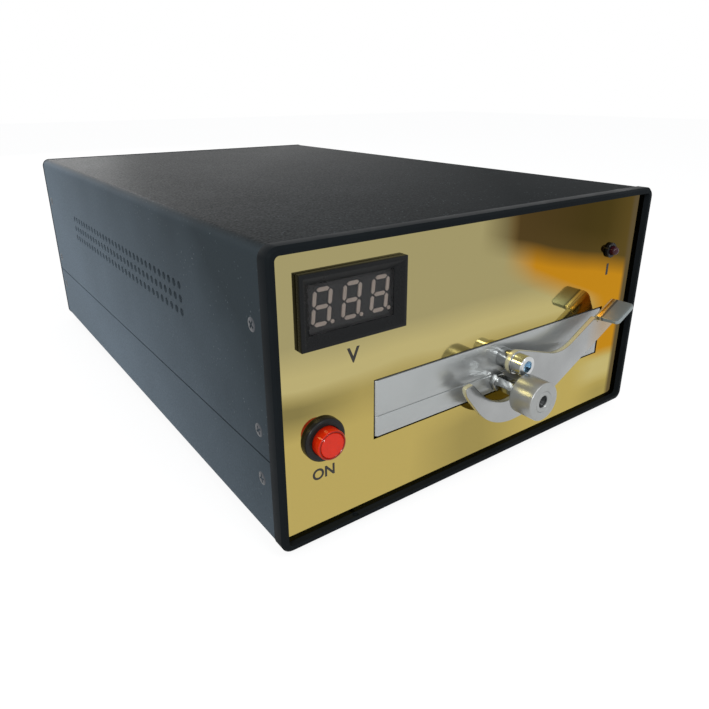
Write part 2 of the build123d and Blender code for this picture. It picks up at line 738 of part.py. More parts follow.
def make_deck():
    """Bent deck over the floor, the two rails that guide the drawer, and its stop."""
    legs = [
        (DECK_LEFT - DECK_FLANGE, FLOOR),
        (DECK_LEFT - DECK_FLANGE, FLOOR + DECK_SHEET),
        (DECK_LEFT, FLOOR + DECK_SHEET),
        (DECK_LEFT, DECK_Z),
        (DECK_RIGHT, DECK_Z),
        (DECK_RIGHT, FLOOR + DECK_SHEET),
        (DECK_RIGHT + DECK_FLANGE, FLOOR + DECK_SHEET),
        (DECK_RIGHT + DECK_FLANGE, FLOOR),
        (DECK_RIGHT - DECK_SHEET, FLOOR),
        (DECK_RIGHT - DECK_SHEET, DECK_Z - DECK_SHEET),
        (DECK_LEFT + DECK_SHEET, DECK_Z - DECK_SHEET),
        (DECK_LEFT + DECK_SHEET, FLOOR),
    ]
    outline = make_face(Polyline(*legs, close=True))
    write("support_deck", extrude(front_plane(back(DECK_END)) * outline, DECK_END - DECK_START))

    runner_low = TRAY_LOW + TRAY_FLOOR
    groove_low = runner_low - RAIL_PLAY
    groove_high = runner_low + RUNNER_HEIGHT + RAIL_PLAY
    inner = TRAY_LEFT - RAIL_PLAY
    groove = TRAY_LEFT - RUNNER_WIDTH - RAIL_PLAY
    rail_end = RUNNER_REAR + RAIL_SPARE
    rail = box(inner - RAIL_WIDTH, inner, RUNNER_FRONT, rail_end, DECK_Z, DECK_Z + RAIL_HEIGHT)
    rail -= box(groove, inner + 1, RUNNER_FRONT - 1, rail_end + 1, groove_low, groove_high)
    middle = Plane(origin=(BAR_MIDDLE, 0, 0), z_dir=(1, 0, 0))
    write("slide_rails", group([rail, rail.mirror(middle)]))

    stop_face = TRAY_REAR + PART_GAP
    half = STOP_WIDTH / 2
    left = BAR_MIDDLE - half
    right = BAR_MIDDLE + half
    stop = box(left, right, stop_face, stop_face + STOP_SHEET, DECK_Z, DECK_Z + STOP_HEIGHT)
    stop += box(left, right, stop_face, stop_face + STOP_FOOT, DECK_Z, DECK_Z + STOP_SHEET)
    write("drawer_stop", stop)


def make_tray():
    """Lower half of the cassette: bar, tray with runners and hinge ears, cushion, screws."""
    bar = box(BAR_LEFT, BAR_RIGHT, LOWER_FACE, TRAY_FRONT, TRAY_LOW, TRAY_TOP)
    upright = bar.edges().filter_by(Axis.Z).sort_by(Axis.Y)[:2]
    bar = chamfer(upright, BAR_CHAMFER)
    bar -= rod(KNOB_X, up(KNOB_Z), LOWER_FACE - 1, LOWER_FACE + STUD_EMBED, STUD_RADIUS)

    wall_x0 = TRAY_LEFT + TRAY_WALL
    wall_x1 = TRAY_RIGHT - TRAY_WALL
    wall_y0 = TRAY_FRONT + TRAY_WALL
    wall_y1 = TRAY_REAR - 2 * HINGE_INSET
    floor = TRAY_LOW + TRAY_FLOOR
    tray = box(TRAY_LEFT, TRAY_RIGHT, TRAY_FRONT, TRAY_REAR, TRAY_LOW, TRAY_TOP)
    tray -= box(wall_x0, wall_x1, wall_y0, wall_y1, floor, TRAY_TOP + 1)
    runner_top = floor + RUNNER_HEIGHT
    tray += box(TRAY_LEFT - RUNNER_WIDTH, TRAY_LEFT, RUNNER_FRONT, RUNNER_REAR, floor, runner_top)
    tray += box(TRAY_RIGHT, TRAY_RIGHT + RUNNER_WIDTH, RUNNER_FRONT, RUNNER_REAR, floor, runner_top)
    ear_r = HINGE_INSET
    for x0 in (TRAY_LEFT, TRAY_RIGHT - EAR_WIDTH):
        tray += box(x0, x0 + EAR_WIDTH, PIN_Y - ear_r, PIN_Y + ear_r, TRAY_TOP - 1, PIN_Z)
        tray += rod_x(PIN_Y, PIN_Z, x0, x0 + EAR_WIDTH, ear_r)
    tray -= rod_x(PIN_Y, PIN_Z, TRAY_LEFT - 1, TRAY_RIGHT + 1, HINGE_PIN / 2)

    screw_z = (floor + TRAY_TOP) / 2
    screws = []
    for x in BAR_SCREWS:
        shank_front = wall_y0 - BAR_SCREW_LENGTH
        shank = rod(x, screw_z, shank_front, wall_y0, M3 / 2, small=True)
        bar -= shank
        tray -= shank
        screws.append(shank + rod(x, screw_z, wall_y0, wall_y0 + M3 / 2, M3_HEAD, small=True))
    write("lower_bar", bar)
    write("tray", tray)

    cushion_x0 = wall_x0 + CUSHION_GAP
    cushion_x1 = wall_x1 - CUSHION_GAP
    cushion_y0 = wall_y0 + CUSHION_GAP
    cushion_y1 = wall_y1 - CUSHION_GAP
    pad = box(cushion_x0, cushion_x1, cushion_y0, cushion_y1, floor, floor + CUSHION)
    pad = chamfer(pad.edges().filter_by(Axis.Z), CUSHION_GAP)
    pad = chamfer(pad.faces().sort_by(Axis.Z)[-1].edges(), CUSHION_CROWN)
    write("tray_cushion", pad)
    return screws


def make_hinge():
    """Two pins, pressed in the tray's ears, that carry the clamp frame."""
    reach = EAR_WIDTH + PIN_REACH
    left = rod_x(PIN_Y, PIN_Z, TRAY_LEFT, TRAY_LEFT + reach, HINGE_PIN / 2)
    right = rod_x(PIN_Y, PIN_Z, TRAY_RIGHT - reach, TRAY_RIGHT, HINGE_PIN / 2)
    write("hinge_pins", group([left, right]))


def make_clamp(tray_screws):
    """Upper half of the cassette: bar, frame, glass and the clips that hold it."""
    bar = box(BAR_LEFT, BAR_RIGHT, PANEL_FACE, CLAMP_FRONT, CLAMP_LOW, BAR_TOP)
    upright = bar.edges().filter_by(Axis.Z).sort_by(Axis.Y)[:2]
    bar = chamfer(upright, BAR_CHAMFER)
    pivot_z = up(PIVOT_Z)
    bar -= rod(AXIS_X, pivot_z, PANEL_FACE - 1, PANEL_FACE + PIVOT_REACH, PIVOT_SCREW / 2)

    upstand_back = CLAMP_FRONT + UPSTAND
    frame = box(TRAY_LEFT, TRAY_RIGHT, CLAMP_FRONT, TRAY_REAR, CLAMP_LOW, CLAMP_TOP)
    frame += box(TRAY_LEFT, TRAY_RIGHT, CLAMP_FRONT, upstand_back, CLAMP_TOP, up(UPSTAND_HIGH))
    notch = HINGE_INSET + PART_GAP
    for x0 in (TRAY_LEFT, TRAY_RIGHT - EAR_WIDTH):
        notch_x0 = x0 - PART_GAP
        notch_x1 = x0 + EAR_WIDTH + PART_GAP
        frame -= box(notch_x0, notch_x1, PIN_Y - notch, TRAY_REAR + 1, CLAMP_LOW - 1, CLAMP_TOP + 1)
    frame -= rod_x(PIN_Y, PIN_Z, TRAY_LEFT, TRAY_RIGHT, HINGE_PIN / 2 + RUN)
    seat_x0 = TRAY_LEFT + CLAMP_RIM
    seat_x1 = TRAY_RIGHT - CLAMP_RIM
    seat_y0 = upstand_back + CLAMP_RIM
    seat_y1 = TRAY_REAR - 2 * HINGE_INSET - CLAMP_RIM
    frame -= box(seat_x0, seat_x1, seat_y0, seat_y1, GLASS_LOW, CLAMP_TOP + 1)
    frame -= box(
        seat_x0 + GLASS_SEAT,
        seat_x1 - GLASS_SEAT,
        seat_y0 + GLASS_SEAT,
        seat_y1 - GLASS_SEAT,
        CLAMP_LOW - 1,
        GLASS_LOW + 1,
    )
    glass = box(seat_x0 + FIT, seat_x1 - FIT, seat_y0 + FIT, seat_y1 - FIT, GLASS_LOW, CLAMP_TOP)
    write("exposure_glass", glass)

    screw_z = (CLAMP_TOP + up(UPSTAND_HIGH)) / 2
    bar_screws = list(tray_screws)
    clamp_screws = []
    for x in BAR_SCREWS:
        shank = rod(x, screw_z, upstand_back - BAR_SCREW_LENGTH, upstand_back, M3 / 2, small=True)
        head = rod(x, screw_z, upstand_back, upstand_back + M3 / 2, M3_HEAD, small=True)
        bar -= shank
        frame -= shank
        clamp_screws.append(shank + head)
    write("tray_screws", group(bar_screws))
    write("clamp_screws", group(clamp_screws))
    write("upper_bar", bar)

    clips = []
    fixings = []
    half = CLIP_LENGTH / 2
    clip_top = CLAMP_TOP + CLIP_SHEET
    middle = (seat_y0 + seat_y1) / 2
    for side, seat in ((-1, seat_x0), (1, seat_x1)):
        for y in (middle - CLIP_SPREAD, middle + CLIP_SPREAD):
            outer = seat + side * CLAMP_RIM
            inner = outer - side * CLIP_WIDTH
            x0 = min(outer, inner)
            clip = box(x0, x0 + CLIP_WIDTH, y - half, y + half, CLAMP_TOP, clip_top)
            hole_x = seat + side * CLAMP_RIM / 2
            shank = post(hole_x, y, clip_top - M2_LENGTH, clip_top, M2 / 2, small=True)
            frame -= shank
            clips.append(clip - shank)
            fixings.append(shank + post(hole_x, y, clip_top, clip_top + M2 / 2, M2_HEAD, small=True))
    write("clamp_frame", frame)
    write("glass_clips", group(clips))
    write("clip_screws", group(fixings))


def make_pivot():
    """Spacer and cap screw that carry the latch lever on the upper bar."""
    z = up(PIVOT_Z)
    hub_back = LEVER_BACK + RUN
    spacer = rod(AXIS_X, z, hub_back, PANEL_FACE, SPACER_RADIUS)
    spacer -= rod(AXIS_X, z, hub_back - 1, PANEL_FACE + 1, PIVOT_SCREW / 2)
    write("pivot_spacer", spacer)
    head_back = LEVER_FRONT - RUN
    head_front = head_back - CAP_HEAD
    head = rod(AXIS_X, z, head_front, head_back, CAP_HEAD_RADIUS)
    head = chamfer(head.faces().sort_by(Axis.Y)[0].edges(), KNOB_EDGE)
    head -= hex_bar(AXIS_X, z, head_front + CAP_SOCKET_DEPTH, CAP_SOCKET, CAP_SOCKET_DEPTH + 1)
    shank = rod(AXIS_X, z, head_back, PANEL_FACE + PIVOT_REACH, PIVOT_SCREW / 2)
    write("pivot_screw", head + shank)


def polar(angle, radius):
    """A point of the lever's outline about its pivot."""
    turn = math.radians(angle)
    return (radius * math.cos(turn), radius * math.sin(turn))


def along_arm(u, v):
    """A point of the lever's outline along and across its arm."""
    turn = math.radians(ARM_ANGLE)
    return (u * math.cos(turn) - v * math.sin(turn), u * math.sin(turn) + v * math.cos(turn))


def make_lever():
    """Latch lever: hub, spiral hook that draws the knob's shaft in, arm and bent thumb tab."""
    slot_middle = (HUB_RADIUS + HOOK_INNER) / 2
    slot_half = (HOOK_INNER - HUB_RADIUS) / 2
    slot_centre = polar(SLOT_END_ANGLE, slot_middle)
    slot_right = (slot_centre[0] + slot_half, slot_centre[1])
    hub_top = polar(90 + WEB_FALL, HUB_RADIUS)
    hub_low = polar(SLOT_END_ANGLE, HUB_RADIUS)
    slot_low = polar(SLOT_END_ANGLE, HOOK_INNER)
    tip_inner = polar(HOOK_TIP_ANGLE, HOOK_THROAT)
    tip_outer = polar(HOOK_TIP_ANGLE, HOOK_TIP)
    rise = HOOK_THROAT - HOOK_INNER
    spiral = [polar(angle, HOOK_INNER + share * rise) for angle, share in SPIRAL_RISE]
    outer_start = polar(-90, HOOK_OUTER)
    outer_end = polar(-140, HOOK_OUTER)
    outer_swell = polar(-158, (HOOK_OUTER + HOOK_TIP) / 2)
    hub_rise = math.radians(90 + WEB_FALL - ARM_ANGLE)
    web_fall = math.radians(WEB_FALL - ARM_ANGLE)
    fall = (HUB_RADIUS * math.sin(hub_rise) - ARM_HIGH) / -math.sin(web_fall)
    web_u = HUB_RADIUS * math.cos(hub_rise) + fall * math.cos(web_fall)
    web_corner = along_arm(web_u, ARM_HIGH)
    arm_low_start = along_arm(ARM_START, ARM_LOW)
    arm_low_end = along_arm(ARM_END, ARM_LOW)
    arm_high_end = along_arm(ARM_END, ARM_HIGH)
    outline = [
        ThreePointArc(hub_top, polar(175, HUB_RADIUS), hub_low),
        ThreePointArc(hub_low, slot_right, slot_low),
        Spline(slot_low, *spiral, tip_inner),
        Line(tip_inner, tip_outer),
        Spline(tip_outer, outer_swell, outer_end, tangents=(polar(-98, 1), polar(-50, 1))),
        ThreePointArc(outer_end, polar(-115, HOOK_OUTER), outer_start),
        Spline(outer_start, arm_low_start, tangents=((1, 0), along_arm(1, 0))),
        Line(arm_low_start, arm_low_end),
        Line(arm_low_end, arm_high_end),
        Line(arm_high_end, web_corner),
        Line(web_corner, hub_top),
    ]
    face = make_face(outline)
    bend_point = face.vertices().sort_by_distance(web_corner)[0]
    face = fillet(bend_point, WEB_ROUND)
    pivot = Location((AXIS_X, 0, up(PIVOT_Z)))
    plate = pivot * extrude(front_plane(LEVER_BACK) * face, LEVER_PLATE)
    tips = plate.edges().filter_by(Axis.Y).sort_by(Axis.X)
    plate = fillet(tips[:2], TIP_ROUND)
    plate -= rod(AXIS_X, up(PIVOT_Z), LEVER_FRONT - 1, LEVER_BACK + 1, PIVOT_SCREW / 2 + RUN)

    tab_u = ARM_END - TAB_WIDTH
    section = [
        (LEVER_BACK, ARM_HIGH - TAB_BEND - LEVER_PLATE),
        (LEVER_BACK, ARM_HIGH),
        (LEVER_BACK - TAB_LENGTH, ARM_HIGH),
        (LEVER_BACK - TAB_LENGTH, ARM_HIGH - LEVER_PLATE),
        (LEVER_FRONT, ARM_HIGH - LEVER_PLATE),
        (LEVER_FRONT, ARM_HIGH - TAB_BEND - LEVER_PLATE),
    ]
    bend = make_face(Polyline(*section, close=True))
    turned = Plane(origin=(0, 0, 0), x_dir=(0, 1, 0), z_dir=(1, 0, 0))
    tab = extrude(turned * bend, TAB_WIDTH)
    outer_edge = tab.edges().filter_by(Axis.X).sort_by(Axis.Z)[-2:].sort_by(Axis.Y)[-1]
    tab = fillet(outer_edge, TAB_BEND)
    free = tab.edges().filter_by(Axis.Z).sort_by(Axis.Y)[:2]
    tab = fillet(free, TAB_CORNER)
    tip_y = LEVER_FRONT - TAB_LENGTH
    bend_low = ARM_HIGH - TAB_BEND
    cutter = box(-1, TAB_WIDTH + 1, tip_y, LEVER_BACK + 1, bend_low, bend_low + TAB_WIDTH)
    clear = pivot * (Rotation(0, -ARM_ANGLE, 0) * (Location((tab_u, 0, 0)) * cutter))
    placed = pivot * (Rotation(0, -ARM_ANGLE, 0) * (Location((tab_u, 0, 0)) * tab))
    write("latch_lever", plate - clear + placed)


def make_knob():
    """Turned knob on a hexagonal standoff, whose stud is locked to the lower bar by a nut."""
    z = up(KNOB_Z)
    face = FRONT - KNOB_FACE
    knob_back = face + KNOB_LENGTH
    knob = rod(KNOB_X, z, face, knob_back, KNOB_RADIUS)
    knob = chamfer(knob.faces().sort_by(Axis.Y)[0].edges(), KNOB_EDGE)
    knob = chamfer(knob.faces().sort_by(Axis.Y)[-1].edges(), KNOB_EDGE)
    boss_back = knob_back + KNOB_BOSS
    knob += rod(KNOB_X, z, knob_back, boss_back, KNOB_BOSS_RADIUS)
    stud_front = knob_back - KNOB_SOCKET
    knob -= rod(KNOB_X, z, stud_front, boss_back + 1, STUD_RADIUS)
    hole = rod(KNOB_X, z, face - 1, face + KNOB_HOLE_DEPTH, KNOB_THREAD)
    sink = Cone(KNOB_THREAD, KNOB_THREAD + KNOB_SINK, KNOB_SINK)
    knob -= hole + Location((KNOB_X, face + KNOB_SINK / 2, z), (90, 0, 0)) * sink
    write("pull_knob", knob)
    nut_front = LOWER_FACE - NUT_THICK
    shaft = hex_bar(KNOB_X, z, nut_front, STANDOFF_FLATS, nut_front - boss_back)
    shaft += rod(KNOB_X, z, stud_front, LOWER_FACE + STUD_EMBED, STUD_RADIUS)
    write("knob_shaft", shaft)
    nut = hex_bar(KNOB_X, z, LOWER_FACE, NUT_FLATS, NUT_THICK)
    nut -= rod(KNOB_X, z, nut_front - 1, LOWER_FACE + 1, STUD_RADIUS)
    write("shaft_nut", nut)


def trapezoid(low_width, high_width, low_z, high_z):
    """Upright trapezoid over the middle of the drawer."""
    points = [
        (BAR_MIDDLE - low_width / 2, low_z),
        (BAR_MIDDLE + low_width / 2, low_z),
        (BAR_MIDDLE + high_width / 2, high_z),
        (BAR_MIDDLE - high_width / 2, high_z),
    ]
    return make_face(Polyline(*points, close=True))


def make_light_box():
    """Two portals that carry the reflector, the flash tubes and their holders, and the trigger coil."""
    portals = []
    low = up(PORTAL_LOW)
    high = up(PORTAL_HIGH)
    for y in (back(PORTAL_FRONT), back(PORTAL_REAR)):
        portal = box(DECK_LEFT, DECK_RIGHT, y, y + PORTAL_SHEET, low, high)
        portal += box(DECK_LEFT, DECK_LEFT + PORTAL_LEG, y, y + PORTAL_SHEET, DECK_Z, low)
        portal += box(DECK_RIGHT - PORTAL_LEG, DECK_RIGHT, y, y + PORTAL_SHEET, DECK_Z, low)
        portals.append(portal)
    write("lamp_brackets", group(portals))

    y0 = back(PORTAL_FRONT) + PORTAL_SHEET
    y1 = back(PORTAL_REAR)
    sheet = REFLECTOR_SHEET
    bottom = up(REFLECTOR_LOW)
    top = up(REFLECTOR_HIGH)
    shell = extrude(front_plane(y1) * trapezoid(REFLECTOR_BOTTOM, REFLECTOR_TOP, bottom, top), y1 - y0)
    slope = (REFLECTOR_BOTTOM - REFLECTOR_TOP) / (top - bottom)
    inside_bottom = REFLECTOR_BOTTOM - 2 * sheet + slope
    inside_top = REFLECTOR_TOP - 2 * sheet + slope * sheet
    inside = trapezoid(inside_bottom, inside_top, bottom - 1, top - sheet)
    shell -= extrude(front_plane(y1 + 1) * inside, y1 - y0 + 2)
    write("reflector", shell)

    z = up(TUBE_Z)
    tubes = []
    holders = []
    for x in (BAR_MIDDLE - TUBE_SPACING / 2, BAR_MIDDLE + TUBE_SPACING / 2):
        tubes.append(rod(x, z, y0 + HOLDER_DEPTH, y1 - HOLDER_DEPTH, TUBE_RADIUS))
        half = HOLDER / 2
        for start in (y0, y1 - HOLDER_DEPTH):
            holders.append(box(x - half, x + half, start, start + HOLDER_DEPTH, z - half, z + half))
    write("flash_tubes", group(tubes))
    write("tube_holders", group(holders))

    y = back(COIL_Y)
    coil = post(COIL_X, y, DECK_Z, DECK_Z + COIL_HEIGHT, COIL_RADIUS)
    for cheek in (DECK_Z, DECK_Z + COIL_HEIGHT - COIL_CHEEK):
        coil += post(COIL_X, y, cheek, cheek + COIL_CHEEK, COIL_RADIUS + COIL_CHEEK)
    write("trigger_coil", coil)


def make_power():
    """Storage capacitors under their strap, mains transformer, charging board."""
    y = back(CAN_Y)
    cans = []
    for index in range(CAN_COUNT):
        x = CAN_FIRST_X + index * CAN_PITCH
        cans.append(post(x, y, FLOOR, FLOOR + CAN_HEIGHT, CAN_RADIUS))
    write("capacitors", group(cans))
    low = up(STRAP_LOW)
    last_x = CAN_FIRST_X + (CAN_COUNT - 1) * CAN_PITCH
    inner = CAN_RADIUS + FIT
    outer = inner + STRAP_SHEET
    top = low + STRAP_HEIGHT
    strap = box(CAN_FIRST_X, last_x, y - outer, y + outer, low, top)
    for x in (CAN_FIRST_X, last_x):
        strap += post(x, y, low, top, outer)
    strap -= box(CAN_FIRST_X, last_x, y - inner, y + inner, low - 1, top + 1)
    for x in (CAN_FIRST_X, last_x):
        strap -= post(x, y, low - 1, top + 1, inner)
    leg_y = y + inner
    for index in range(CAN_COUNT - 1):
        leg_x = CAN_FIRST_X + (index + 0.5) * CAN_PITCH
        half = STRAP_HEIGHT / 2
        strap += box(leg_x - half, leg_x + half, leg_y, leg_y + STRAP_SHEET, FLOOR, top)
    write("capacitor_strap", strap)

    half_w = CORE_WIDTH / 2
    half_d = CORE_DEPTH / 2
    core_y = back(CORE_Y)
    core_top = FLOOR + CORE_HEIGHT
    core = box(CORE_X - half_w, CORE_X + half_w, core_y - half_d, core_y + half_d, FLOOR, core_top)
    for side in (-1, 1):
        window = CORE_X + side * (CORE_LIMB + half_w - CORE_LIMB) / 2
        half_window = (half_w - 2 * CORE_LIMB) / 2
        core -= box(
            window - half_window,
            window + half_window,
            core_y - half_d - 1,
            core_y + half_d + 1,
            FLOOR + CORE_LIMB,
            core_top - CORE_LIMB,
        )
    write("transformer_core", core)
    reach = CORE_LIMB + half_w - 2 * CORE_LIMB - FIT
    deep = WINDING / 2
    winding = box(
        CORE_X - reach,
        CORE_X + reach,
        core_y - deep,
        core_y + deep,
        FLOOR + CORE_LIMB + FIT,
        core_top - CORE_LIMB - FIT,
    )
    winding = fillet(winding.edges().filter_by(Axis.Z), WINDING_ROUND)
    limb = CORE_LIMB + FIT
    hollow = half_d + FIT
    winding -= box(CORE_X - limb, CORE_X + limb, core_y - hollow, core_y + hollow, FLOOR, core_top)
    write("transformer_coil", winding)

    board_z = FLOOR + BOARD_LIFT
    y0 = back(BOARD_FRONT)
    y1 = back(BOARD_REAR)
    board = box(BOARD_LEFT, BOARD_RIGHT, y0, y1, board_z, board_z + BOARD)
    standoffs = []
    for x in (BOARD_LEFT + BOARD_INSET, BOARD_RIGHT - BOARD_INSET):
        for y in (y0 + BOARD_INSET, y1 - BOARD_INSET):
            board -= post(x, y, board_z - 1, board_z + BOARD + 1, M3 / 2, small=True)
            pillar = post(x, y, FLOOR, board_z, M3, small=True)
            standoffs.append(pillar + post(x, y, board_z, board_z + BOARD, M3 / 2, small=True))
    write("board_standoffs", group(standoffs))
    parts_top = board_z + BOARD
    middle = (y0 + y1) / 2
    parts = [board]
    for index in range(CHIP_COUNT):
        x = BOARD_LEFT + (index + 1) * (BOARD_RIGHT - BOARD_LEFT) / (CHIP_COUNT + 1)
        if index % 2:
            parts.append(post(x, middle, parts_top, parts_top + CHIP_HEIGHT, CHIP_HEIGHT / 2, small=True))
        else:
            half = CHIP_HEIGHT / 2
            parts.append(box(x - half, x + half, middle - half, middle + half, parts_top, parts_top + half))
    write("charging_board", group(parts))


def make_rear():
    """Rear panel with its mains inlet, switch and fuse holder."""
    z = up(REAR_Z)
    sheet = panel_sheet(REAR_INSIDE)
    inside = REAR_INSIDE - 1
    outside = REAR_FACE + 1
    half_w = INLET_WIDTH / 2
    half_h = INLET_HEIGHT / 2
    sheet -= block_at(INLET_X, z, half_w + FIT, half_h + FIT, inside, outside)
    switch_w = SWITCH_WIDTH / 2
    switch_h = SWITCH_HEIGHT / 2
    sheet -= block_at(SWITCH_X, z, switch_w + FIT, switch_h + FIT, inside, outside)
    sheet -= rod(FUSE_X, z, inside, outside, FUSE_RADIUS + FIT)

    flange_face = REAR_FACE + INLET_FLANGE
    flange_w = INLET_FLANGE_WIDTH / 2
    flange_h = INLET_FLANGE_HEIGHT / 2
    flange = block_at(INLET_X, z, flange_w, flange_h, REAR_FACE, flange_face)
    flange = chamfer(flange.edges().filter_by(Axis.Y), INLET_CUT)
    inlet = flange + block_at(INLET_X, z, half_w, half_h, REAR_FACE - INLET_DEPTH, REAR_FACE)
    socket_w = half_w - INLET_WALL
    socket_h = half_h - INLET_WALL
    socket_back = flange_face - PIN_LENGTH - PIN_SINK
    socket = block_at(INLET_X, z, socket_w, socket_h, socket_back, flange_face + 1)
    top_edges = socket.edges().filter_by(Axis.Y).sort_by(Axis.Z)[-2:]
    inlet -= chamfer(top_edges, INLET_CUT / 2)
    pins = []
    for dx, dz in ((-PIN_SPREAD, -PIN_STEP), (PIN_SPREAD, -PIN_STEP), (0, 2 * PIN_STEP)):
        pin_root = socket_back - PIN_ROOT
        pin_tip = socket_back + PIN_LENGTH
        pin = block_at(INLET_X + dx, z + dz, PIN_WIDTH / 2, PIN_HEIGHT / 2, pin_root, pin_tip)
        inlet -= pin
        pins.append(pin)
    screws = []
    for x in (INLET_X - INLET_SCREWS / 2, INLET_X + INLET_SCREWS / 2):
        screw = rod(x, z, flange_face - M3 / 2, flange_face, M3_HEAD, small=True)
        screw += rod(x, z, REAR_INSIDE - NUT_M3, flange_face - M3 / 2, M3 / 2, small=True)
        inlet -= screw
        sheet -= screw
        screws.append(screw)
    write("power_inlet", group([inlet, *pins]))
    write("inlet_screws", group(screws))

    rim_face = REAR_FACE + SWITCH_BEZEL
    rim_w = switch_w + SWITCH_RIM
    rim_h = switch_h + SWITCH_RIM
    switch = block_at(SWITCH_X, z, rim_w, rim_h, REAR_FACE, rim_face)
    switch += block_at(SWITCH_X, z, switch_w, switch_h, REAR_FACE - SWITCH_DEPTH, REAR_FACE)
    cavity_w = switch_w - SWITCH_WALL
    pivot_y = rim_face - ROCKER_DIP
    cavity_h = ROCKER_RADIUS + PART_GAP
    cavity_back = pivot_y - ROCKER_ROOT - PART_GAP
    switch -= block_at(SWITCH_X, z, cavity_w, cavity_h, cavity_back, rim_face + 1)
    pin_reach = cavity_w + SWITCH_WALL / 2
    switch -= rod_x(pivot_y, z, SWITCH_X - pin_reach, SWITCH_X + pin_reach, ROCKER_PIN / 2 + RUN)
    write("switch_body", switch)
    tip = math.sqrt(ROCKER_RADIUS**2 - ROCKER_RISE**2)
    section = [
        (-tip, ROCKER_RISE),
        (0, ROCKER_DIP),
        (tip, ROCKER_RISE),
        (tip, 0),
        (ROCKER_ROOT / 2, -ROCKER_ROOT + ROCKER_DIP),
        (-ROCKER_ROOT / 2, -ROCKER_ROOT + ROCKER_DIP),
        (-tip, 0),
    ]
    side = Plane(origin=(0, 0, 0), x_dir=(0, 0, -1), z_dir=(1, 0, 0))
    rocker_w = cavity_w - PART_GAP
    rocker = extrude(side * make_face(Polyline(*section, close=True)), rocker_w, both=True)
    rocker += rod_x(0, 0, -pin_reach + RUN, pin_reach - RUN, ROCKER_PIN / 2)
    write("power_rocker", Location((SWITCH_X, pivot_y, z), (ROCKER_TILT, 0, 0)) * rocker)

    fuse_face = REAR_FACE + REAR_RIM
    holder = rod(FUSE_X, z, REAR_FACE, fuse_face, FUSE_RIM)
    holder += rod(FUSE_X, z, REAR_FACE - FUSE_DEPTH, REAR_FACE, FUSE_RADIUS)
    plug_back = fuse_face - FUSE_PLUG
    holder -= rod(FUSE_X, z, plug_back - PART_GAP, fuse_face + 1, FUSE_BORE)
    write("fuse_holder", holder)
    fuse_nut = hex_bar(FUSE_X, z, REAR_INSIDE, 2 * FUSE_RADIUS + 2 * NUT_RIM, NUT_M3)
    write("fuse_nut", fuse_nut - rod(FUSE_X, z, REAR_INSIDE - NUT_M3 - 1, REAR_INSIDE + 1, FUSE_RADIUS))
    cap_back = fuse_face + RUN
    cap_face = cap_back + FUSE_CAP_LENGTH
    cap = rod(FUSE_X, z, cap_back, cap_face, FUSE_CAP)
    cap = chamfer(cap.faces().sort_by(Axis.Y)[-1].edges(), KNOB_EDGE)
    cap += rod(FUSE_X, z, plug_back, cap_back, FUSE_BORE - RUN)
    slot = FUSE_SLOT / 2
    cap -= box(FUSE_X - FUSE_CAP, FUSE_X + FUSE_CAP, cap_face - FUSE_SLOT, cap_face + 1, z - slot, z + slot)
    write("fuse_cap", cap)
    write("rear_panel", sheet)


os.makedirs("parts", exist_ok=True)
make_shells()
make_end_frames()
make_front_panel()
make_fasteners_and_feet()
make_meter()
make_button()
make_lamp()
make_deck()
make_hinge()
make_clamp(make_tray())
make_pivot()
make_lever()
make_knob()
make_light_box()
make_power()
make_rear()
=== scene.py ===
import json
import math

import bmesh
import bpy
from bpy.props import FloatProperty, FloatVectorProperty, IntProperty, PointerProperty
from mathutils import Matrix, Vector


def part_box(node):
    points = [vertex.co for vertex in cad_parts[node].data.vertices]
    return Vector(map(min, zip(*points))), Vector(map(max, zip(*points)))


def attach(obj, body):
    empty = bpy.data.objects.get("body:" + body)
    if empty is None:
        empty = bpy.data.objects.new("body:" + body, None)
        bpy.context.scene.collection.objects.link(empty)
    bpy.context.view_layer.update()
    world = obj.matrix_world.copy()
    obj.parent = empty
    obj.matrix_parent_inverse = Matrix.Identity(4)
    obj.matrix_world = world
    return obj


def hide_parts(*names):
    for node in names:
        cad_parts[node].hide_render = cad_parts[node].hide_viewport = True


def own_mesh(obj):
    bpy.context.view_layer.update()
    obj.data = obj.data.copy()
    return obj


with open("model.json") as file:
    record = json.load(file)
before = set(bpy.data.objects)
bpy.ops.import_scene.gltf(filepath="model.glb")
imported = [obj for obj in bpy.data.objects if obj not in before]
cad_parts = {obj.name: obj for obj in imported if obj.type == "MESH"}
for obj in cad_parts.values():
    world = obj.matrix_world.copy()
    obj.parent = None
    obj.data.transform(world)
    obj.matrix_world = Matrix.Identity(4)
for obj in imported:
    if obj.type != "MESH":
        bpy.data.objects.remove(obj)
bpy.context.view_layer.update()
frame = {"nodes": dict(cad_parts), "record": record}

bl_info = {
    "name": "Flash stamp machine",
    "version": (1, 0, 0),
    "blender": (4, 5, 0),
    "location": "View3D > Sidebar > Stamp",
    "description": "Dresses the packed model of a desk-top flash box with a drawer cassette",
    "category": "Object",
}

MM = 0.001
PHOTO_SIDE = 709
FILM_WIDTH = 36.0

# The camera's place in metres: from the object's middle, the bezel's front and the floor.
CAMERA_PLACE = Vector((-0.20207, -0.17321, 0.17259))

# Kinds of ray by which a thing is seen: from the camera, off a gloss, or through glass.
SEEING_RAYS = ("Is Camera Ray", "Is Glossy Ray", "Is Transmission Ray")

# Points closer than this are one, and faces within this angle of each other are one.
SAME_POINT = 0.002 * MM
SAME_FACE = math.radians(0.6)

# Edges sharper than these are rounded, or shaded as sharp.
ROUNDED_ANGLE = math.radians(30.0)
SHARP_ANGLE = math.radians(35.0)

# Each lamp's place and size in metres, and the point that all of them face.
LAMPS = {
    "key": ((-1.1, -0.9, 0.8), (0.3, 0.3)),
    "fill": ((0.0, -1.15, 1.2), (0.35, 0.35)),
    "rim": ((-0.2, 1.65, 0.47), (1.1, 0.35)),
}
LIT_POINT = (0, 0, 0.05)

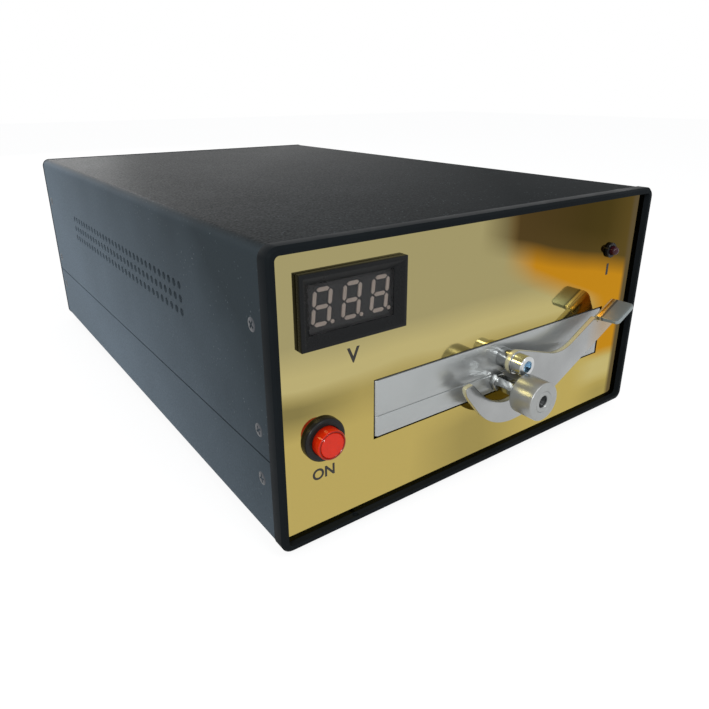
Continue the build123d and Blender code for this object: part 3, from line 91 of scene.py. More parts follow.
# The body and the material slot of each node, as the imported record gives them.
BODY_OF = {node: body for body, nodes in frame["record"]["behaviour"]["bodies"].items() for node in nodes}
JOINTS = {joint["name"]: joint for joint in frame["record"]["behaviour"]["joints"]}
SLOT_OF = {part["node"]: part["material_slot"] for part in frame["record"]["subparts"]}


def colour(name, about, default):
    """A colour that the user may change, in linear light."""
    return FloatVectorProperty(
        name=name, description=about, default=default, size=3, subtype="COLOR", min=0, max=1
    )


def length(name, about, default):
    """A length that the user may change, in metres."""
    default *= MM
    return FloatProperty(name=name, description=about, default=default, min=0, unit="LENGTH", precision=5)


def count(name, about, default):
    """A whole number that the user may change."""
    return IntProperty(name=name, description=about, default=default, min=1)


def factor(name, about, default):
    """A share between nought and one."""
    return FloatProperty(name=name, description=about, default=default, min=0, max=1, subtype="FACTOR")


def angle(name, about, default):
    """An angle that the user may change, given here in degrees."""
    return FloatProperty(name=name, description=about, default=math.radians(default), subtype="ANGLE")


def number(name, about, default, unit="NONE"):
    """A plain number or a power that the user may change."""
    return FloatProperty(name=name, description=about, default=default, unit=unit)


class CaseSettings(bpy.types.PropertyGroup):
    """Sizes of the sheet case and its fasteners."""

    shell: length("Sheet", "Thickness of the case's sheet", 1.2)
    corner: length("Corner", "Outer radius of the long bends", 4.7)
    vent: length("Vent", "Diameter of one round vent", 3.8)
    vent_pitch: length("Vent pitch", "Distance between vents", 6.3)
    vent_columns: count("Vent columns", "Vents in one row", 31)
    vent_rows: count("Vent rows", "Rows of vents", 3)
    vent_start: length("First vent", "First vent behind the front", 84.5)
    vent_low: length("Lowest row", "Height of the lowest vents", 80.8)
    screw_head: length("Screw head", "Diameter of a side screw's head", 6.0)
    recess_width: length("Cross arm", "Width of the cross recess", 0.8)
    recess_reach: length("Cross reach", "Length across the cross recess", 3.6)


class FrontSettings(bpy.types.PropertyGroup):
    """Sizes of the pieces on the front."""

    edge: length("Moulded edge", "Rounding of moulded edges", 0.3)
    fitting_edge: length("Fitting edge", "Rounding of the fittings at the back", 0.2)
    cap_groove: length("Cap groove", "Radius of the ring round the button's face", 5.2)
    cap_round: length("Cap rounding", "Rounding of the button's rim", 0.7)
    cap_shade: length("Cap shade", "Radius of the dark ring at the button's rim", 5.55)
    lamp_share: factor("Lamp share", "Lamp's radius as a share of the packed one", 0.90)
    lamp_rise: factor("Lamp rise", "Lamp's height as a share of the packed one", 0.72)
    mark_size: length("Mark size", "Type size of the plain marks on the panel", 6.67)
    mark_relief: length("Mark relief", "Thickness of the printed marks", 0.04)


class LatchSettings(bpy.types.PropertyGroup):
    """Sizes of the drawer's latch and knob."""

    edge: length("Plate edge", "Rounding of the lever's edges", 0.3)
    bar_edge: length("Bar edge", "Rounding of the drawer bars' edges", 0.25)
    parting: length("Parting", "Gap between the bars, nearly closed here", 0.35)
    fine_edge: length("Fine edge", "Rounding of the small metal pieces", 0.15)
    turning_pitch: length("Turning pitch", "Distance between turning marks", 0.35)
    plate: length("Plate", "Thickness of the lever's plate", 2.8)
    thinning: length("Thinning", "How much thinner the tab is", 0.9)
    arm_angle: angle("Arm angle", "Rise of the lever's arm", 29.0)
    play: length("Play", "Gap under the cap screw's head", 0.05)
    shank: length("Shank", "Diameter of the pivot's thread", 6.0)
    head_edge: length("Head edge", "Rounding of the cap screw's head", 0.6)
    socket: length("Socket", "Width across the cap screw's socket", 5.0)
    socket_depth: length("Socket depth", "Depth of the cap screw's socket", 3.0)


class FinishSettings(bpy.types.PropertyGroup):
    """Colours and gloss of the finishes."""

    case: colour("Case top", "Powder coat on the top", (0.012, 0.014, 0.015))
    # Painted light: the sides' two tones below are lighter and bluer than the top, where light falls on them,
    # the second one low and to the rear.
    flanks: colour("Case sides", "Powder coat near the front", (0.033, 0.042, 0.048))
    painted_low_rear_tone: colour("Faded sides", "Powder coat low and to the rear", (0.158, 0.200, 0.240))
    frames: colour("Frames", "Moulded end frames", (0.0085, 0.0105, 0.012))
    # Painted reflections: the panel's gold tones here, with the brown corner's dark tint and the mirrored
    # wall, stand in for what the polished sheet reflects.
    gold: colour("Gold", "Polished panel above and left", (0.342, 0.296, 0.136))
    pale: colour("Pale gold", "Lighter band across the panel's middle", (0.474, 0.402, 0.171))
    warm: colour("Warm gold", "Polished panel below", (0.456, 0.356, 0.109))
    olive: colour("Olive gold", "Shaded bands of the panel", (0.215, 0.175, 0.062))
    orange: colour("Orange gold", "Sweep at the panel's right", (0.491, 0.212, 0.0086))
    brown: colour("Brown gold", "Dark tint of the panel's upper corner", (0.050, 0.030, 0.0100))
    cap: colour("Button cap", "Red of the start button", (0.50, 0.013, 0.0))
    silver: colour("Drawer bars", "Satin silver of the drawer bars", (0.371, 0.388, 0.388))
    plating: colour("Plating", "Bright plating of the latch lever", (0.36, 0.37, 0.37))
    turned: colour("Turned metal", "Turned aluminium of the pull knob", (0.33, 0.34, 0.335))
    wall: colour("Mirrored wall", "Frame's wall, mirrored at the panel's right edge", (0.075, 0.052, 0.034))
    case_gloss: factor("Case gloss", "Specular level of the powder coat", 0.002)


class StageSettings(bpy.types.PropertyGroup):
    """Camera and light."""

    azimuth: angle("Azimuth", "Camera's angle round the object", -36.073)
    elevation: angle("Elevation", "Camera's angle above the horizon", 21.117)
    roll: angle("Roll", "Camera's turn about its line of sight", -0.19)
    focal: number("Focal length", "Focal length in pixels", 619.1)
    centre_x: number("Centre X", "Optical centre's column of pixels", 360.0)
    centre_y: number("Centre Y", "Optical centre's row of pixels", 330.3)
    key: number("Key light", "Power of the light from the front left", 9.0, "POWER")
    fill: number("Fill light", "Power of the light from above the front", 5.0, "POWER")
    rim: number("Rim light", "Power of the light from behind", 3.5, "POWER")
    ambient: number("Surroundings", "Strength of the pale surroundings", 0.6)
    tint: colour("Surroundings' tint", "Colour of the light from all round", (0.95, 0.97, 1.0))
    floor: colour("Floor", "Colour of the floor under the lamps", (0.86, 0.86, 0.86))


class Value:
    """A number in a material, with which sums are written as plain expressions."""

    def __init__(self, tree, socket):
        self.tree = tree
        self.socket = socket

    def sum_with(self, operation, other, swapped=False):
        first, second = (other, self) if swapped else (self, other)
        node = self.tree.node("ShaderNodeMath", {"operation": operation}, {0: first, 1: second})
        return Value(self.tree, node.outputs[0])

    def __add__(self, other):
        return self.sum_with("ADD", other)

    def __radd__(self, other):
        return self.sum_with("ADD", other, True)

    def __sub__(self, other):
        return self.sum_with("SUBTRACT", other)

    def __rsub__(self, other):
        return self.sum_with("SUBTRACT", other, True)

    def __mul__(self, other):
        return self.sum_with("MULTIPLY", other)

    def __pow__(self, other):
        return self.sum_with("POWER", other)

    def wave(self, pitch):
        """The sine of a length, one turn to a pitch."""
        return (self * (2 * math.pi / pitch)).sum_with("SINE", 0.0)

    def ramp(self, low, high, start=0.0, end=1.0):
        """Maps the value between two limits, held at both ends."""
        inputs = {"Value": self, "From Min": low, "From Max": high, "To Min": start, "To Max": end}
        return Value(self.tree, self.tree.node("ShaderNodeMapRange", {"clamp": True}, inputs).outputs[0])

    def within(self, rise, fall):
        """One between two soft limits: it grows over the first pair and fades over the second."""
        return self.ramp(*rise) * self.ramp(fall[1], fall[0])


class Tree:
    """The shader nodes of a material or of the surroundings."""

    def __init__(self, owner):
        owner.use_nodes = True
        self.nodes = owner.node_tree.nodes
        self.links = owner.node_tree.links

    def node(self, kind, settings=None, inputs=None):
        """Adds a node: its settings first, then the values or links of its sockets."""
        made = self.nodes.new(kind)
        for key, value in (settings or {}).items():
            setattr(made, key, value)
        for key, value in (inputs or {}).items():
            self.feed(made.inputs[key], value)
        return made

    def feed(self, socket, value):
        """Links or sets one socket."""
        value = getattr(value, "socket", value)
        if isinstance(value, bpy.types.NodeSocket):
            self.links.new(value, socket)
        elif socket.type == "RGBA" and len(value) == 3:
            socket.default_value = (*value, 1)
        else:
            socket.default_value = value

    def seen(self):
        """One or more on a ray by which a thing is seen."""
        path = self.node("ShaderNodeLightPath")
        camera, gloss, glass = (Value(self, path.outputs[ray]) for ray in SEEING_RAYS)
        return camera + gloss + glass

    def show(self, output, share, first, second):
        """Mixes two shaders and sends them to the output."""
        mixed = self.node("ShaderNodeMixShader", None, {0: share, 1: first.outputs[0], 2: second.outputs[0]})
        self.links.new(mixed.outputs[0], self.nodes[output].inputs["Surface"])


class Finish(Tree):
    """One procedural material on a Principled shader."""

    def __init__(self, name, **constants):
        self.material = bpy.data.materials.new(name)
        super().__init__(self.material)
        self.shader = self.nodes["Principled BSDF"]
        for socket, value in constants.items():
            self.put(socket.replace("_", " "), value)

    def put(self, name, value):
        """Sets or links one socket of the shader."""
        self.feed(self.shader.inputs[name], value)

    def place(self, stretch=(1, 1, 1), centre=(0, 0, 0)):
        """Object coordinates, moved to a centre and stretched."""
        where = self.node("ShaderNodeTexCoord").outputs["Object"]
        moved = self.node("ShaderNodeVectorMath", {"operation": "SUBTRACT"}, {0: where, 1: centre})
        from_centre = {0: moved.outputs[0], 1: stretch}
        return self.node("ShaderNodeVectorMath", {"operation": "MULTIPLY"}, from_centre).outputs[0]

    def axes(self, place):
        """The three coordinates of a place."""
        split = self.node("ShaderNodeSeparateXYZ", None, {0: place})
        return [Value(self, socket) for socket in split.outputs]

    def noise(self, grain, place=None, detail=2.0, rough=0.5):
        """Soft noise from nought to one, with lumps of the given size in metres."""
        inputs = {"Vector": place or self.place(), "Scale": 1 / grain, "Detail": detail, "Roughness": rough}
        return Value(self, self.node("ShaderNodeTexNoise", None, inputs).outputs[0])

    def cells(self, grain, place=None):
        """Distance to the nearest of scattered points, for flecks and pores."""
        inputs = {"Vector": place or self.place(), "Scale": 1 / grain}
        return Value(self, self.node("ShaderNodeTexVoronoi", {"feature": "F1"}, inputs).outputs[0])

    def blend(self, share, first, second):
        """Mixes two colours."""
        node = self.node("ShaderNodeMix", {"data_type": "RGBA"}, {0: share, 6: first, 7: second})
        return node.outputs[2]

    def made(self, tone, roughness, height=None, depth=0.0, strength=1.0):
        """Ends the finish: its colour, its roughness, and a height that raises its surface."""
        self.put("Base Color", tone)
        self.put("Roughness", roughness)
        if height:
            inputs = {"Height": height, "Distance": depth, "Strength": strength}
            self.put("Normal", self.node("ShaderNodeBump", None, inputs).outputs[0])
        return self.material


def shade(tone, share):
    """A colour made darker or lighter."""
    return tuple(min(1.0, part * share) for part in tone)


def powder_coat(name, tone, painted_side_light_tone, painted_rear_light_tone, gloss, grain=0.9):
    """Dimpled powder coat with pale dust and painted light: its sides painted lighter and bluer than the top,
    most of all low and to the rear, and a painted sheen at the top's rear left.
    """
    finish = Finish(name, Specular_IOR_Level=gloss, Coat_IOR=1.12, Coat_Roughness=0.42)
    blend = finish.blend
    dimples = finish.noise(grain * MM, detail=3.0)
    pits = dimples.ramp(0.35, 0.65)
    broad = finish.noise(60 * MM, detail=3.0)
    dust = finish.cells(2.2 * MM).ramp(0.20, 0.10) * finish.noise(14 * MM).ramp(0.45, 0.65)
    x, y, z = finish.axes(finish.place())
    low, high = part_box("base_tray")[0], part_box("top_cover")[1]
    flank = ((x * x) ** 0.5).ramp(high.x - 4 * MM, high.x - MM)
    upper = blend(broad * 0.5 + pits * 0.5, shade(tone, 0.6), shade(tone, 1.5))
    # Painted light: the sides grow lighter towards the bottom and the rear.
    painted_rear_light = y.ramp(low.y, high.y) * 1.08 + z.ramp(high.z, low.z) * 0.55 + broad * 0.3 - 0.35
    side = blend(pits * 0.3, blend(painted_rear_light.ramp(0.0, 1.0), painted_side_light_tone, painted_rear_light_tone), painted_side_light_tone)
    base = blend(dust * 0.45, blend(flank, upper, side), shade(tone, 14))
    # Painted sheen: the coat weight grows towards the top's rear left and falls on the sides, standing in for
    # a reflection.
    sheen = (y * 0.8 - x).ramp(-0.15, 0.05, 0.0, 0.65) * (1.0 - flank * 0.8)
    finish.put("Coat Weight", sheen * (0.45 + pits * 0.8 + broad * 0.3))
    return finish.made(base, 0.38 + dimples * 0.12 + broad * 0.06, dimples, 0.09 * MM, 0.8)


def moulded(name, tone, roughness=0.4, grain=0.35, depth=0.02, specular=0.4, scuff=0.25):
    """Spark-textured moulded plastic with lightly rubbed patches."""
    finish = Finish(name, Specular_IOR_Level=specular)
    skin = finish.noise(grain * MM)
    patches = finish.noise(22 * MM, detail=4.0).ramp(0.35, 0.75)
    base = finish.blend(patches * scuff, tone, shade(tone, 1.7))
    return finish.made(base, roughness - patches * 0.08 + skin * 0.08, skin, depth * MM, 0.5)


def gold_sheet(name, gold, pale, warm, olive, orange, brown, wall):
    """Polished gold-coloured sheet, its colour painted with reflections: paler, warmer and olive bands across
    it, an orange sweep and a brown corner at its right, and the frame's wall mirrored at its right edge.

    Places on it are shares of the panel's width and height.
    """
    finish = Finish(name, Metallic=1.0, Specular_Tint=(1.0, 0.90, 0.55))
    blend = finish.blend
    low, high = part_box("front_panel")
    span = high - low
    x, y, z = finish.axes(finish.place((1 / span.x, 1, 1 / span.z), tuple(low)))
    # Painted reflection of the frame's wall at the right edge.
    painted_wall_reflection = x.ramp(0.952, 0.966)
    drift = finish.noise(45 * MM, detail=1.0) * 0.06 - 0.03
    x = x + drift
    z = z - drift
    # Painted reflections: each band, sweep and corner laid into the base colour below.
    base = blend(z.ramp(0.70, 0.60), gold, pale)
    base = blend(z.ramp(0.56, 0.49), base, warm)
    band = z.within((0.56, 0.50), (0.47, 0.37))
    base = blend(band * (x.ramp(0.16, 0.03) * 0.6 + 0.35), base, olive)
    painted_olive_reflection = x.within((0.28, 0.44), (0.50, 0.66)) * z.ramp(0.30, 0.18)
    foot = x.ramp(0.80, 0.92) * z.ramp(0.16, 0.06)
    base = blend(painted_olive_reflection * 0.55 + foot * 0.5, base, olive)
    patch = x.ramp(0.80, 0.88) * z.within((0.27, 0.22), (0.16, 0.10))
    base = blend(patch, base, shade(pale, 1.05))
    sweep = (z + x * 0.8).ramp(1.17, 1.27) * x.ramp(0.52, 0.62)
    strip = x.ramp(0.84, 0.90) * z.ramp(0.24, 0.29) * (1.0 - sweep)
    base = blend(sweep + strip, base, orange)
    crest = z + x * 0.46
    corner = x.ramp(0.45, 0.56) * crest.ramp(1.07, 1.16)
    depth = x.within((0.55, 0.78), (0.86, 0.96)) * crest.ramp(1.12, 1.25)
    base = blend(corner, base, blend(depth * 0.6, shade(brown, 1.35), shade(brown, 0.4)))
    base = blend(painted_wall_reflection, base, wall)
    haze = finish.noise(3 * MM, finish.place((0.2, 1, 1)), 4.0).ramp(0.3, 0.8)
    waves = finish.noise(25 * MM, finish.place((0.4, 1, 1)), 1.0)
    return finish.made(base, 0.045 + haze * 0.03, waves, 0.04 * MM, 0.3)


def brushed(name, tone, roughness=0.28, direction=(0.03, 1, 1), stain=0.12, metal=1.0):
    """Satin metal with fine strokes along one direction and faint handling marks."""
    finish = Finish(name, Metallic=metal)
    strokes = finish.noise(0.5 * MM, finish.place(direction), 3.0)
    marks = finish.noise(13 * MM, detail=4.0).ramp(0.42, 0.75)
    base = finish.blend(marks * stain, tone, shade(tone, 0.7))
    return finish.made(base, roughness + strokes * 0.06 + marks * 0.04, strokes, 0.004 * MM, 0.3)


def turned_metal(name, tone, painted_bore_shade, node, bore, pitch, roughness=0.15, metal=1.0):
    """Turned metal: fine rings about the node's own axis, which runs along Y, and its bore darkened as
    painted shade.
    """
    finish = Finish(name, Metallic=metal)
    x, y, z = finish.axes(finish.place(centre=middle_of(node)))
    radius = (x * x + z * z) ** 0.5
    marks = radius.wave(pitch) * 0.25 + y.wave(pitch) * 0.25 + 0.5
    stains = finish.noise(5 * MM, detail=4.0).ramp(0.45, 0.7)
    streaks = finish.noise(0.35 * MM, finish.place((0.1, 1, 0.1)))
    # Painted shade: the bore takes its own darker colour.
    painted_bore_share = radius.ramp(bore, bore - 0.15 * MM)
    base = finish.blend(stains * 0.3, tone, shade(tone, 0.68))
    base = finish.blend(marks * 0.25, base, shade(tone, 0.75))
    base = finish.blend(painted_bore_share, base, painted_bore_shade)
    return finish.made(base, roughness + streaks * 0.16, marks, 0.012 * MM, 0.6)


def plated(name, tone, roughness=0.16):
    """Bright zinc plate with a faint mottle."""
    finish = Finish(name, Metallic=1.0)
    mottle = finish.noise(2.2 * MM, detail=4.0, rough=0.6)
    base = finish.blend(finish.noise(16 * MM), shade(tone, 0.86), shade(tone, 1.06))
    return finish.made(base, roughness + mottle * 0.12, mottle, 0.02 * MM, 0.25)


def handled_plate(name, tone, painted_gold_reflection, painted_highlight_tone, tab_tone):
    """The lever's plating: a painted gold reflection to the right, a painted pale gold highlight on its cut
    edges and the tab's bend with a stripe of painted dark reflection beyond the bend, and greyer and less
    metallic on the tab.

    Places on it are millimetres from the high corner of the lever's box.
    """
    finish = Finish(name)
    blend = finish.blend
    x, y, z = (axis * (1 / MM) for axis in finish.axes(finish.place(centre=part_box("latch_lever")[1])))
    tab = y.ramp(-3.4, -5.6)
    bend = y.within((-2.95, -3.3), (-4.4, -4.8))
    stripe = y.within((-4.4, -4.8), (-5.6, -6.0))
    rim = y.within((-2.7, -2.3), (-0.5, -0.1))
    mottle = finish.noise(2.2 * MM, detail=4.0, rough=0.6)
    base = blend(finish.noise(18 * MM), shade(tone, 0.72), shade(tone, 1.12))
    # Painted reflection towards the right end, painted highlights on the cut edges and the bend, and a stripe
    # of painted dark reflection.
    base = blend(x.ramp(-26, -13) * 0.75, base, painted_gold_reflection)
    base = blend(rim * 0.9, base, painted_highlight_tone)
    base = blend(tab * 0.85, base, tab_tone)
    base = blend(bend * 0.9, base, painted_highlight_tone)
    base = blend(stripe * 0.75, base, shade(tab_tone, 0.25))
    finish.put("Metallic", 1.0 - tab * 0.45 - rim * 0.6)
    return finish.made(base, 0.17 + mottle * 0.08 + tab * 0.12, mottle, 0.015 * MM, 0.25)


def red_with_painted_glow(name, tone, glow, node, rim=None):
    """Translucent red plastic with a painted glow, its colour given off as light at the given strength, and
    painted shade down its side and in a dark ring at its rim.
    """
    finish = Finish(name, Specular_IOR_Level=0.05, Coat_Weight=0.45, Coat_Roughness=0.09)
    cloud = finish.noise(3 * MM)
    base = finish.blend(cloud, tone, shade(tone, 1.25))
    middle, face = middle_of(node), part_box(node)[0].y
    x, y, z = finish.axes(finish.place(centre=(middle.x, face, middle.z)))
    # Painted shade in a dark ring at the rim.
    if rim:
        wide, narrow = 0.55 * MM, 0.55 / 3 * MM
        ring = ((x * x + z * z) ** 0.5).within((rim - wide, rim - narrow), (rim + narrow, rim + wide))
        base = finish.blend(ring * 0.75, base, shade(tone, 0.18))
    # Painted shade: darker down the side, towards the back.
    base = finish.blend(y.ramp(0.6 * MM, 5 * MM) * 0.6, base, shade(tone, 0.25))
    # Painted glow: the colour is given off as light.
    finish.put("Emission Color", base)
    finish.put("Emission Strength", glow)
    return finish.made(base, 0.25 + cloud * 0.08, finish.noise(0.4 * MM), 0.01 * MM, 0.3)


def smoked(name, tone, cover, roughness=0.06):
    """Clear or smoked sheet: a glossy skin that lets what is behind it show."""
    finish = Finish(name, Coat_Weight=0.5, Coat_Roughness=0.03)
    film = finish.noise(9 * MM, detail=3.0)
    finish.put("Alpha", cover + film * 0.05)
    return finish.made(finish.blend(film, tone, shade(tone, 1.4)), roughness + film * 0.05)


def foam(name, tone):
    """Open-pored foam, with painted shade in its pores."""
    finish = Finish(name)
    pores = finish.cells(0.7 * MM)
    fuzz = finish.noise(0.3 * MM, detail=3.0)
    # Painted shade: darker in the pores.
    base = finish.blend(pores, shade(tone, 0.4), shade(tone, 1.5))
    return finish.made(base, 0.95, pores * 0.7 + fuzz * 0.3, 0.25 * MM, 0.8)


def laminate(name, tone):
    """Circuit-board laminate with its weave and tracks under lacquer."""
    finish = Finish(name, Coat_Weight=0.3)
    x, y, z = finish.axes(finish.place())
    weave = x.wave(0.8 * MM) * y.wave(0.8 * MM)
    tracks = x.wave(5 * MM).ramp(0.75, 0.85)
    base = finish.blend(tracks * 0.5, tone, shade(tone, 1.8))
    return finish.made(base, 0.4 + weave * 0.03, tracks, 0.03 * MM, 0.5)


def winding(name, tone):
    """Lacquered wire, turn beside turn, with painted shade between the turns and a painted highlight on their
    crests.
    """
    finish = Finish(name, Metallic=0.4, Coat_Weight=0.7)
    turns = finish.axes(finish.place())[2].wave(0.6 * MM) * 0.5 + 0.5
    # Painted shade between the turns and painted highlight on their crests.
    base = finish.blend(turns, shade(tone, 0.5), shade(tone, 1.3))
    return finish.made(base, 0.35 - turns * 0.08, turns, 0.2 * MM, 0.9)


def middle_of(node):
    """The middle of a node's box."""
    low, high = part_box(node)
    return (low + high) / 2


def make_finishes(settings, front, latch):
    """Every finish, by the record's slot."""
    case = (settings.case, settings.flanks, settings.painted_low_rear_tone, settings.case_gloss)
    gold = ("gold", "pale", "warm", "olive", "orange", "brown", "wall")
    silver = settings.silver
    plate = settings.plating
    turned = settings.turned
    pitch = latch.turning_pitch
    return {
        "case_steel": powder_coat("powder_coat", *case),
        "black_frame": moulded("moulded_black", settings.frames, 0.38, 0.5, 0.03, 0.01),
        "gold_panel": gold_sheet("polished_gold", *(getattr(settings, tone) for tone in gold)),
        "rear_sheet": powder_coat("rear_coat", *case, 0.7),
        "black_screws": plated("black_screws", (0.075, 0.08, 0.088), 0.3),
        "screw_steel": plated("zinc_screws", (0.5, 0.5, 0.5), 0.3),
        "foot_rubber": moulded("foot_rubber", (0.012, 0.012, 0.012), 0.75, 0.4, 0.04, 0.08),
        "meter_black": moulded("meter_black", (0.006, 0.0065, 0.007), 0.25, 0.4, 0.02, 0.13),
        "smoked_window": smoked("smoked_window", (0.008, 0.008, 0.008), 0.14),
        "display_block": moulded("display_block", (0.032, 0.032, 0.033), 0.45, 0.3, 0.01, 0.1),
        "display_bars": moulded("display_bars", (0.42, 0.35, 0.30), 0.5, 0.3, 0.01, 0.1),
        "circuit_board": laminate("laminate", (0.02, 0.12, 0.05)),
        "button_black": moulded("collar_black", (0.010, 0.010, 0.010), 0.3, 0.6, 0.05, 0.16),
        # The button is no lamp: its glow is painted light.
        "button_red": red_with_painted_glow("cap_red", settings.cap, 0.05, "button_cap", front.cap_shade),
        "spring_steel": plated("spring_wire", (0.5, 0.5, 0.5), 0.25),
        "lamp_black": moulded("lamp_black", (0.006, 0.006, 0.006), 0.2, 0.4, 0.01, 0.15),
        "lamp_lens": red_with_painted_glow("lamp_red", (0.030, 0.003, 0.008), 0.0, "lamp_lens"),
        "plated_sheet": plated("deck_plate", (0.55, 0.56, 0.57), 0.3),
        "rail_plastic": moulded("rail_nylon", (0.7, 0.7, 0.68), 0.5, 0.4, 0.02, 0.4, 0.05),
        "reflector_sheet": plated("reflector_sheet", (0.85, 0.86, 0.87), 0.08),
        "tube_glass": smoked("tube_glass", (0.75, 0.78, 0.8), 0.28),
        "ceramic": moulded("ceramic", (0.75, 0.72, 0.66), 0.35, 0.5, 0.02, 0.5, 0.05),
        "coil_lacquer": winding("coil_wire", (0.30, 0.10, 0.04)),
        "can_sleeve": moulded("can_sleeve", (0.02, 0.03, 0.10), 0.3, 2.0, 0.05, 0.5),
        "core_iron": brushed("core_iron", (0.16, 0.16, 0.17), 0.5, (1, 0.03, 1)),
        "standoff_nylon": moulded("standoff_nylon", (0.75, 0.75, 0.72), 0.45, 0.4, 0.02, 0.4, 0.05),
        "inlet_black": moulded("inlet_black", (0.009, 0.009, 0.010), 0.4, 0.35, 0.02, 0.15),
        "drawer_silver": brushed("drawer_silver", silver, 0.26, metal=0.6),
        "tray_metal": brushed("tray_metal", shade(silver, 0.95), 0.32, (1, 0.03, 1)),
        "cushion_foam": foam("cushion_foam", (0.035, 0.035, 0.04)),
        "bright_steel": plated("bright_plate", plate, 0.12),
        # The bore colours are painted shade: near black in the knob's threaded hole, and blue-grey with a
        # painted reflection in the screw's socket.
        "turned_aluminium": turned_metal(
            "turned_aluminium", turned, (0.030, 0.032, 0.033), "pull_knob", 2.9 * MM, pitch, 0.24, 0.65
        ),
        "socket_steel": turned_metal(
            "socket_steel", shade(plate, 1.6), (0.30, 0.38, 0.44), "pivot_screw", 2.95 * MM, pitch, 0.1
        ),
        "clear_glass": smoked("clear_glass", (0.55, 0.62, 0.60), 0.16),
        # The lever's second and third colours are a painted reflection and a painted highlight.
        "lever_plate": handled_plate(
            "lever_plate", plate, (0.36, 0.24, 0.11), (0.60, 0.56, 0.36), (0.21, 0.265, 0.285)
        ),
        "mark_ink": moulded("mark_ink", (0.02, 0.018, 0.015), 0.5, 0.3, 0.005, 0.3),
    }


FINISHES = {}


def block(shape, low, high):
    """A block between two corners."""
    middle = (Vector(low) + Vector(high)) / 2
    size = Vector(high) - Vector(low)
    matrix = Matrix.Translation(middle) @ Matrix.Diagonal((*size, 1))
    bmesh.ops.create_cube(shape, size=1.0, matrix=matrix)


def rounded(shape, edges, width, segments=3):
    """Rounds edges."""
    bmesh.ops.bevel(
        shape, geom=edges, offset=width, offset_type="OFFSET", segments=segments,
        profile=0.5, affect="EDGES", clamp_overlap=True, material=-1,
    )


def sharp_edges(shape):
    """The edges where two faces meet at a plain angle."""
    inner = [edge for edge in shape.edges if len(edge.link_faces) == 2]
    return [edge for edge in inner if edge.calc_face_angle() > ROUNDED_ANGLE]


def node_shape(node, edge=0.0, segments=2):
    """The shape of a CAD node, with its doubles merged and its edges rounded."""
    shape = bmesh.new()
    shape.from_mesh(frame["nodes"][node].data)
    bmesh.ops.remove_doubles(shape, verts=shape.verts, dist=SAME_POINT)
    bmesh.ops.dissolve_limit(shape, angle_limit=SAME_FACE, verts=shape.verts, edges=shape.edges)
    if edge:
        rounded(shape, sharp_edges(shape), edge, segments)
    return shape


def turned(profile, centre, steps=96):
    """A turned shape about a line along Y: its profile gives radius and Y, from one end to the other."""
    shape = bmesh.new()
    chain = [shape.verts.new((centre.x + radius, y, centre.z)) for radius, y in profile]
    edges = [shape.edges.new(pair) for pair in zip(chain, chain[1:])]
    middle = (centre.x, 0, centre.z)
    line = [*chain, *edges]
    full = 2 * math.pi
    bmesh.ops.spin(shape, geom=line, cent=middle, axis=(0, 1, 0), angle=full, steps=steps, use_merge=True)
    bmesh.ops.remove_doubles(shape, verts=shape.verts, dist=SAME_POINT / 2)
    bmesh.ops.recalc_face_normals(shape, faces=shape.faces)
    return shape


def quarter(radius, y, soft, steps, way=1):
    """Profile points of a rounded rim: from the end face at Y out to the side, which runs on that way."""
    turns = [math.pi / 2 * step / steps for step in range(steps + 1)]
    return [(radius - soft + soft * math.sin(t), y + way * (soft - soft * math.cos(t))) for t in turns]


def round_node(node):
    """Middle, radius, and the Y of the front and back of a round node that lies along Y."""
    low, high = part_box(node)
    return (low + high) / 2, (high.x - low.x) / 2, low.y, high.y


def rod(shape, centre, radius, reach, sides, turned_about):
    """A bar about a centre: along X where it is turned about Y, and along Y where it is turned about X."""
    matrix = Matrix.Translation(centre) @ Matrix.Rotation(math.pi / 2, 4, turned_about)
    bmesh.ops.create_cone(
        shape, cap_ends=True, segments=sides, radius1=radius, radius2=radius, depth=reach, matrix=matrix
    )


def mesh_of(shape, name):
    """Turns a shape to a mesh and frees it."""
    mesh = bpy.data.meshes.new(name)
    shape.to_mesh(mesh)
    shape.free()
    return mesh


def cut(shape, cutter):
    """Cuts one shape out of another."""
    body = bpy.data.objects.new("cut_body", mesh_of(shape, "cut_body"))
    tool = bpy.data.objects.new("cut_tool", mesh_of(cutter, "cut_tool"))
    for item in (body, tool):
        bpy.context.collection.objects.link(item)
    modifier = body.modifiers.new("cut", "BOOLEAN")
    modifier.operation = "DIFFERENCE"
    modifier.solver = "EXACT"
    modifier.object = tool
    depsgraph = bpy.context.evaluated_depsgraph_get()
    result = bmesh.new()
    result.from_object(body, depsgraph)
    for item in (body, tool):
        mesh = item.data
        bpy.data.objects.remove(item)
        bpy.data.meshes.remove(mesh)
    return result


def piece(name, shape, node=None, finish=None):
    """Makes a finished piece of a shape. It stands for a node, or is a new piece of the case."""
    slot = finish or SLOT_OF[node]
    mesh = mesh_of(shape, name)
    for face in mesh.polygons:
        face.use_smooth = True
    mesh.set_sharp_from_angle(angle=SHARP_ANGLE)
    made = bpy.data.objects.new(name, mesh)
    bpy.context.collection.objects.link(made)
    mesh.materials.append(FINISHES[slot])
    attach(made, BODY_OF.get(node, "case"))
    if node:
        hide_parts(node)
    return made


def dressed(node, edge, segments=2):
    """A CAD node's own shape with rounded edges."""
    return piece(node + "_dressed", node_shape(node, edge, segments), node)


def long_edges(shape, at_foot):
    """The edges of a block that run along Y, at its foot or at its top."""
    middle = sum(vert.co.z for vert in shape.verts) / len(shape.verts)
    edges = []
    for edge in shape.edges:
        first, second = (vert.co for vert in edge.verts)
        along = abs((second - first).normalized().y) > 0.99
        level = (first.z + second.z) / 2
        if along and (level < middle) == at_foot:
            edges.append(edge)
    return edges


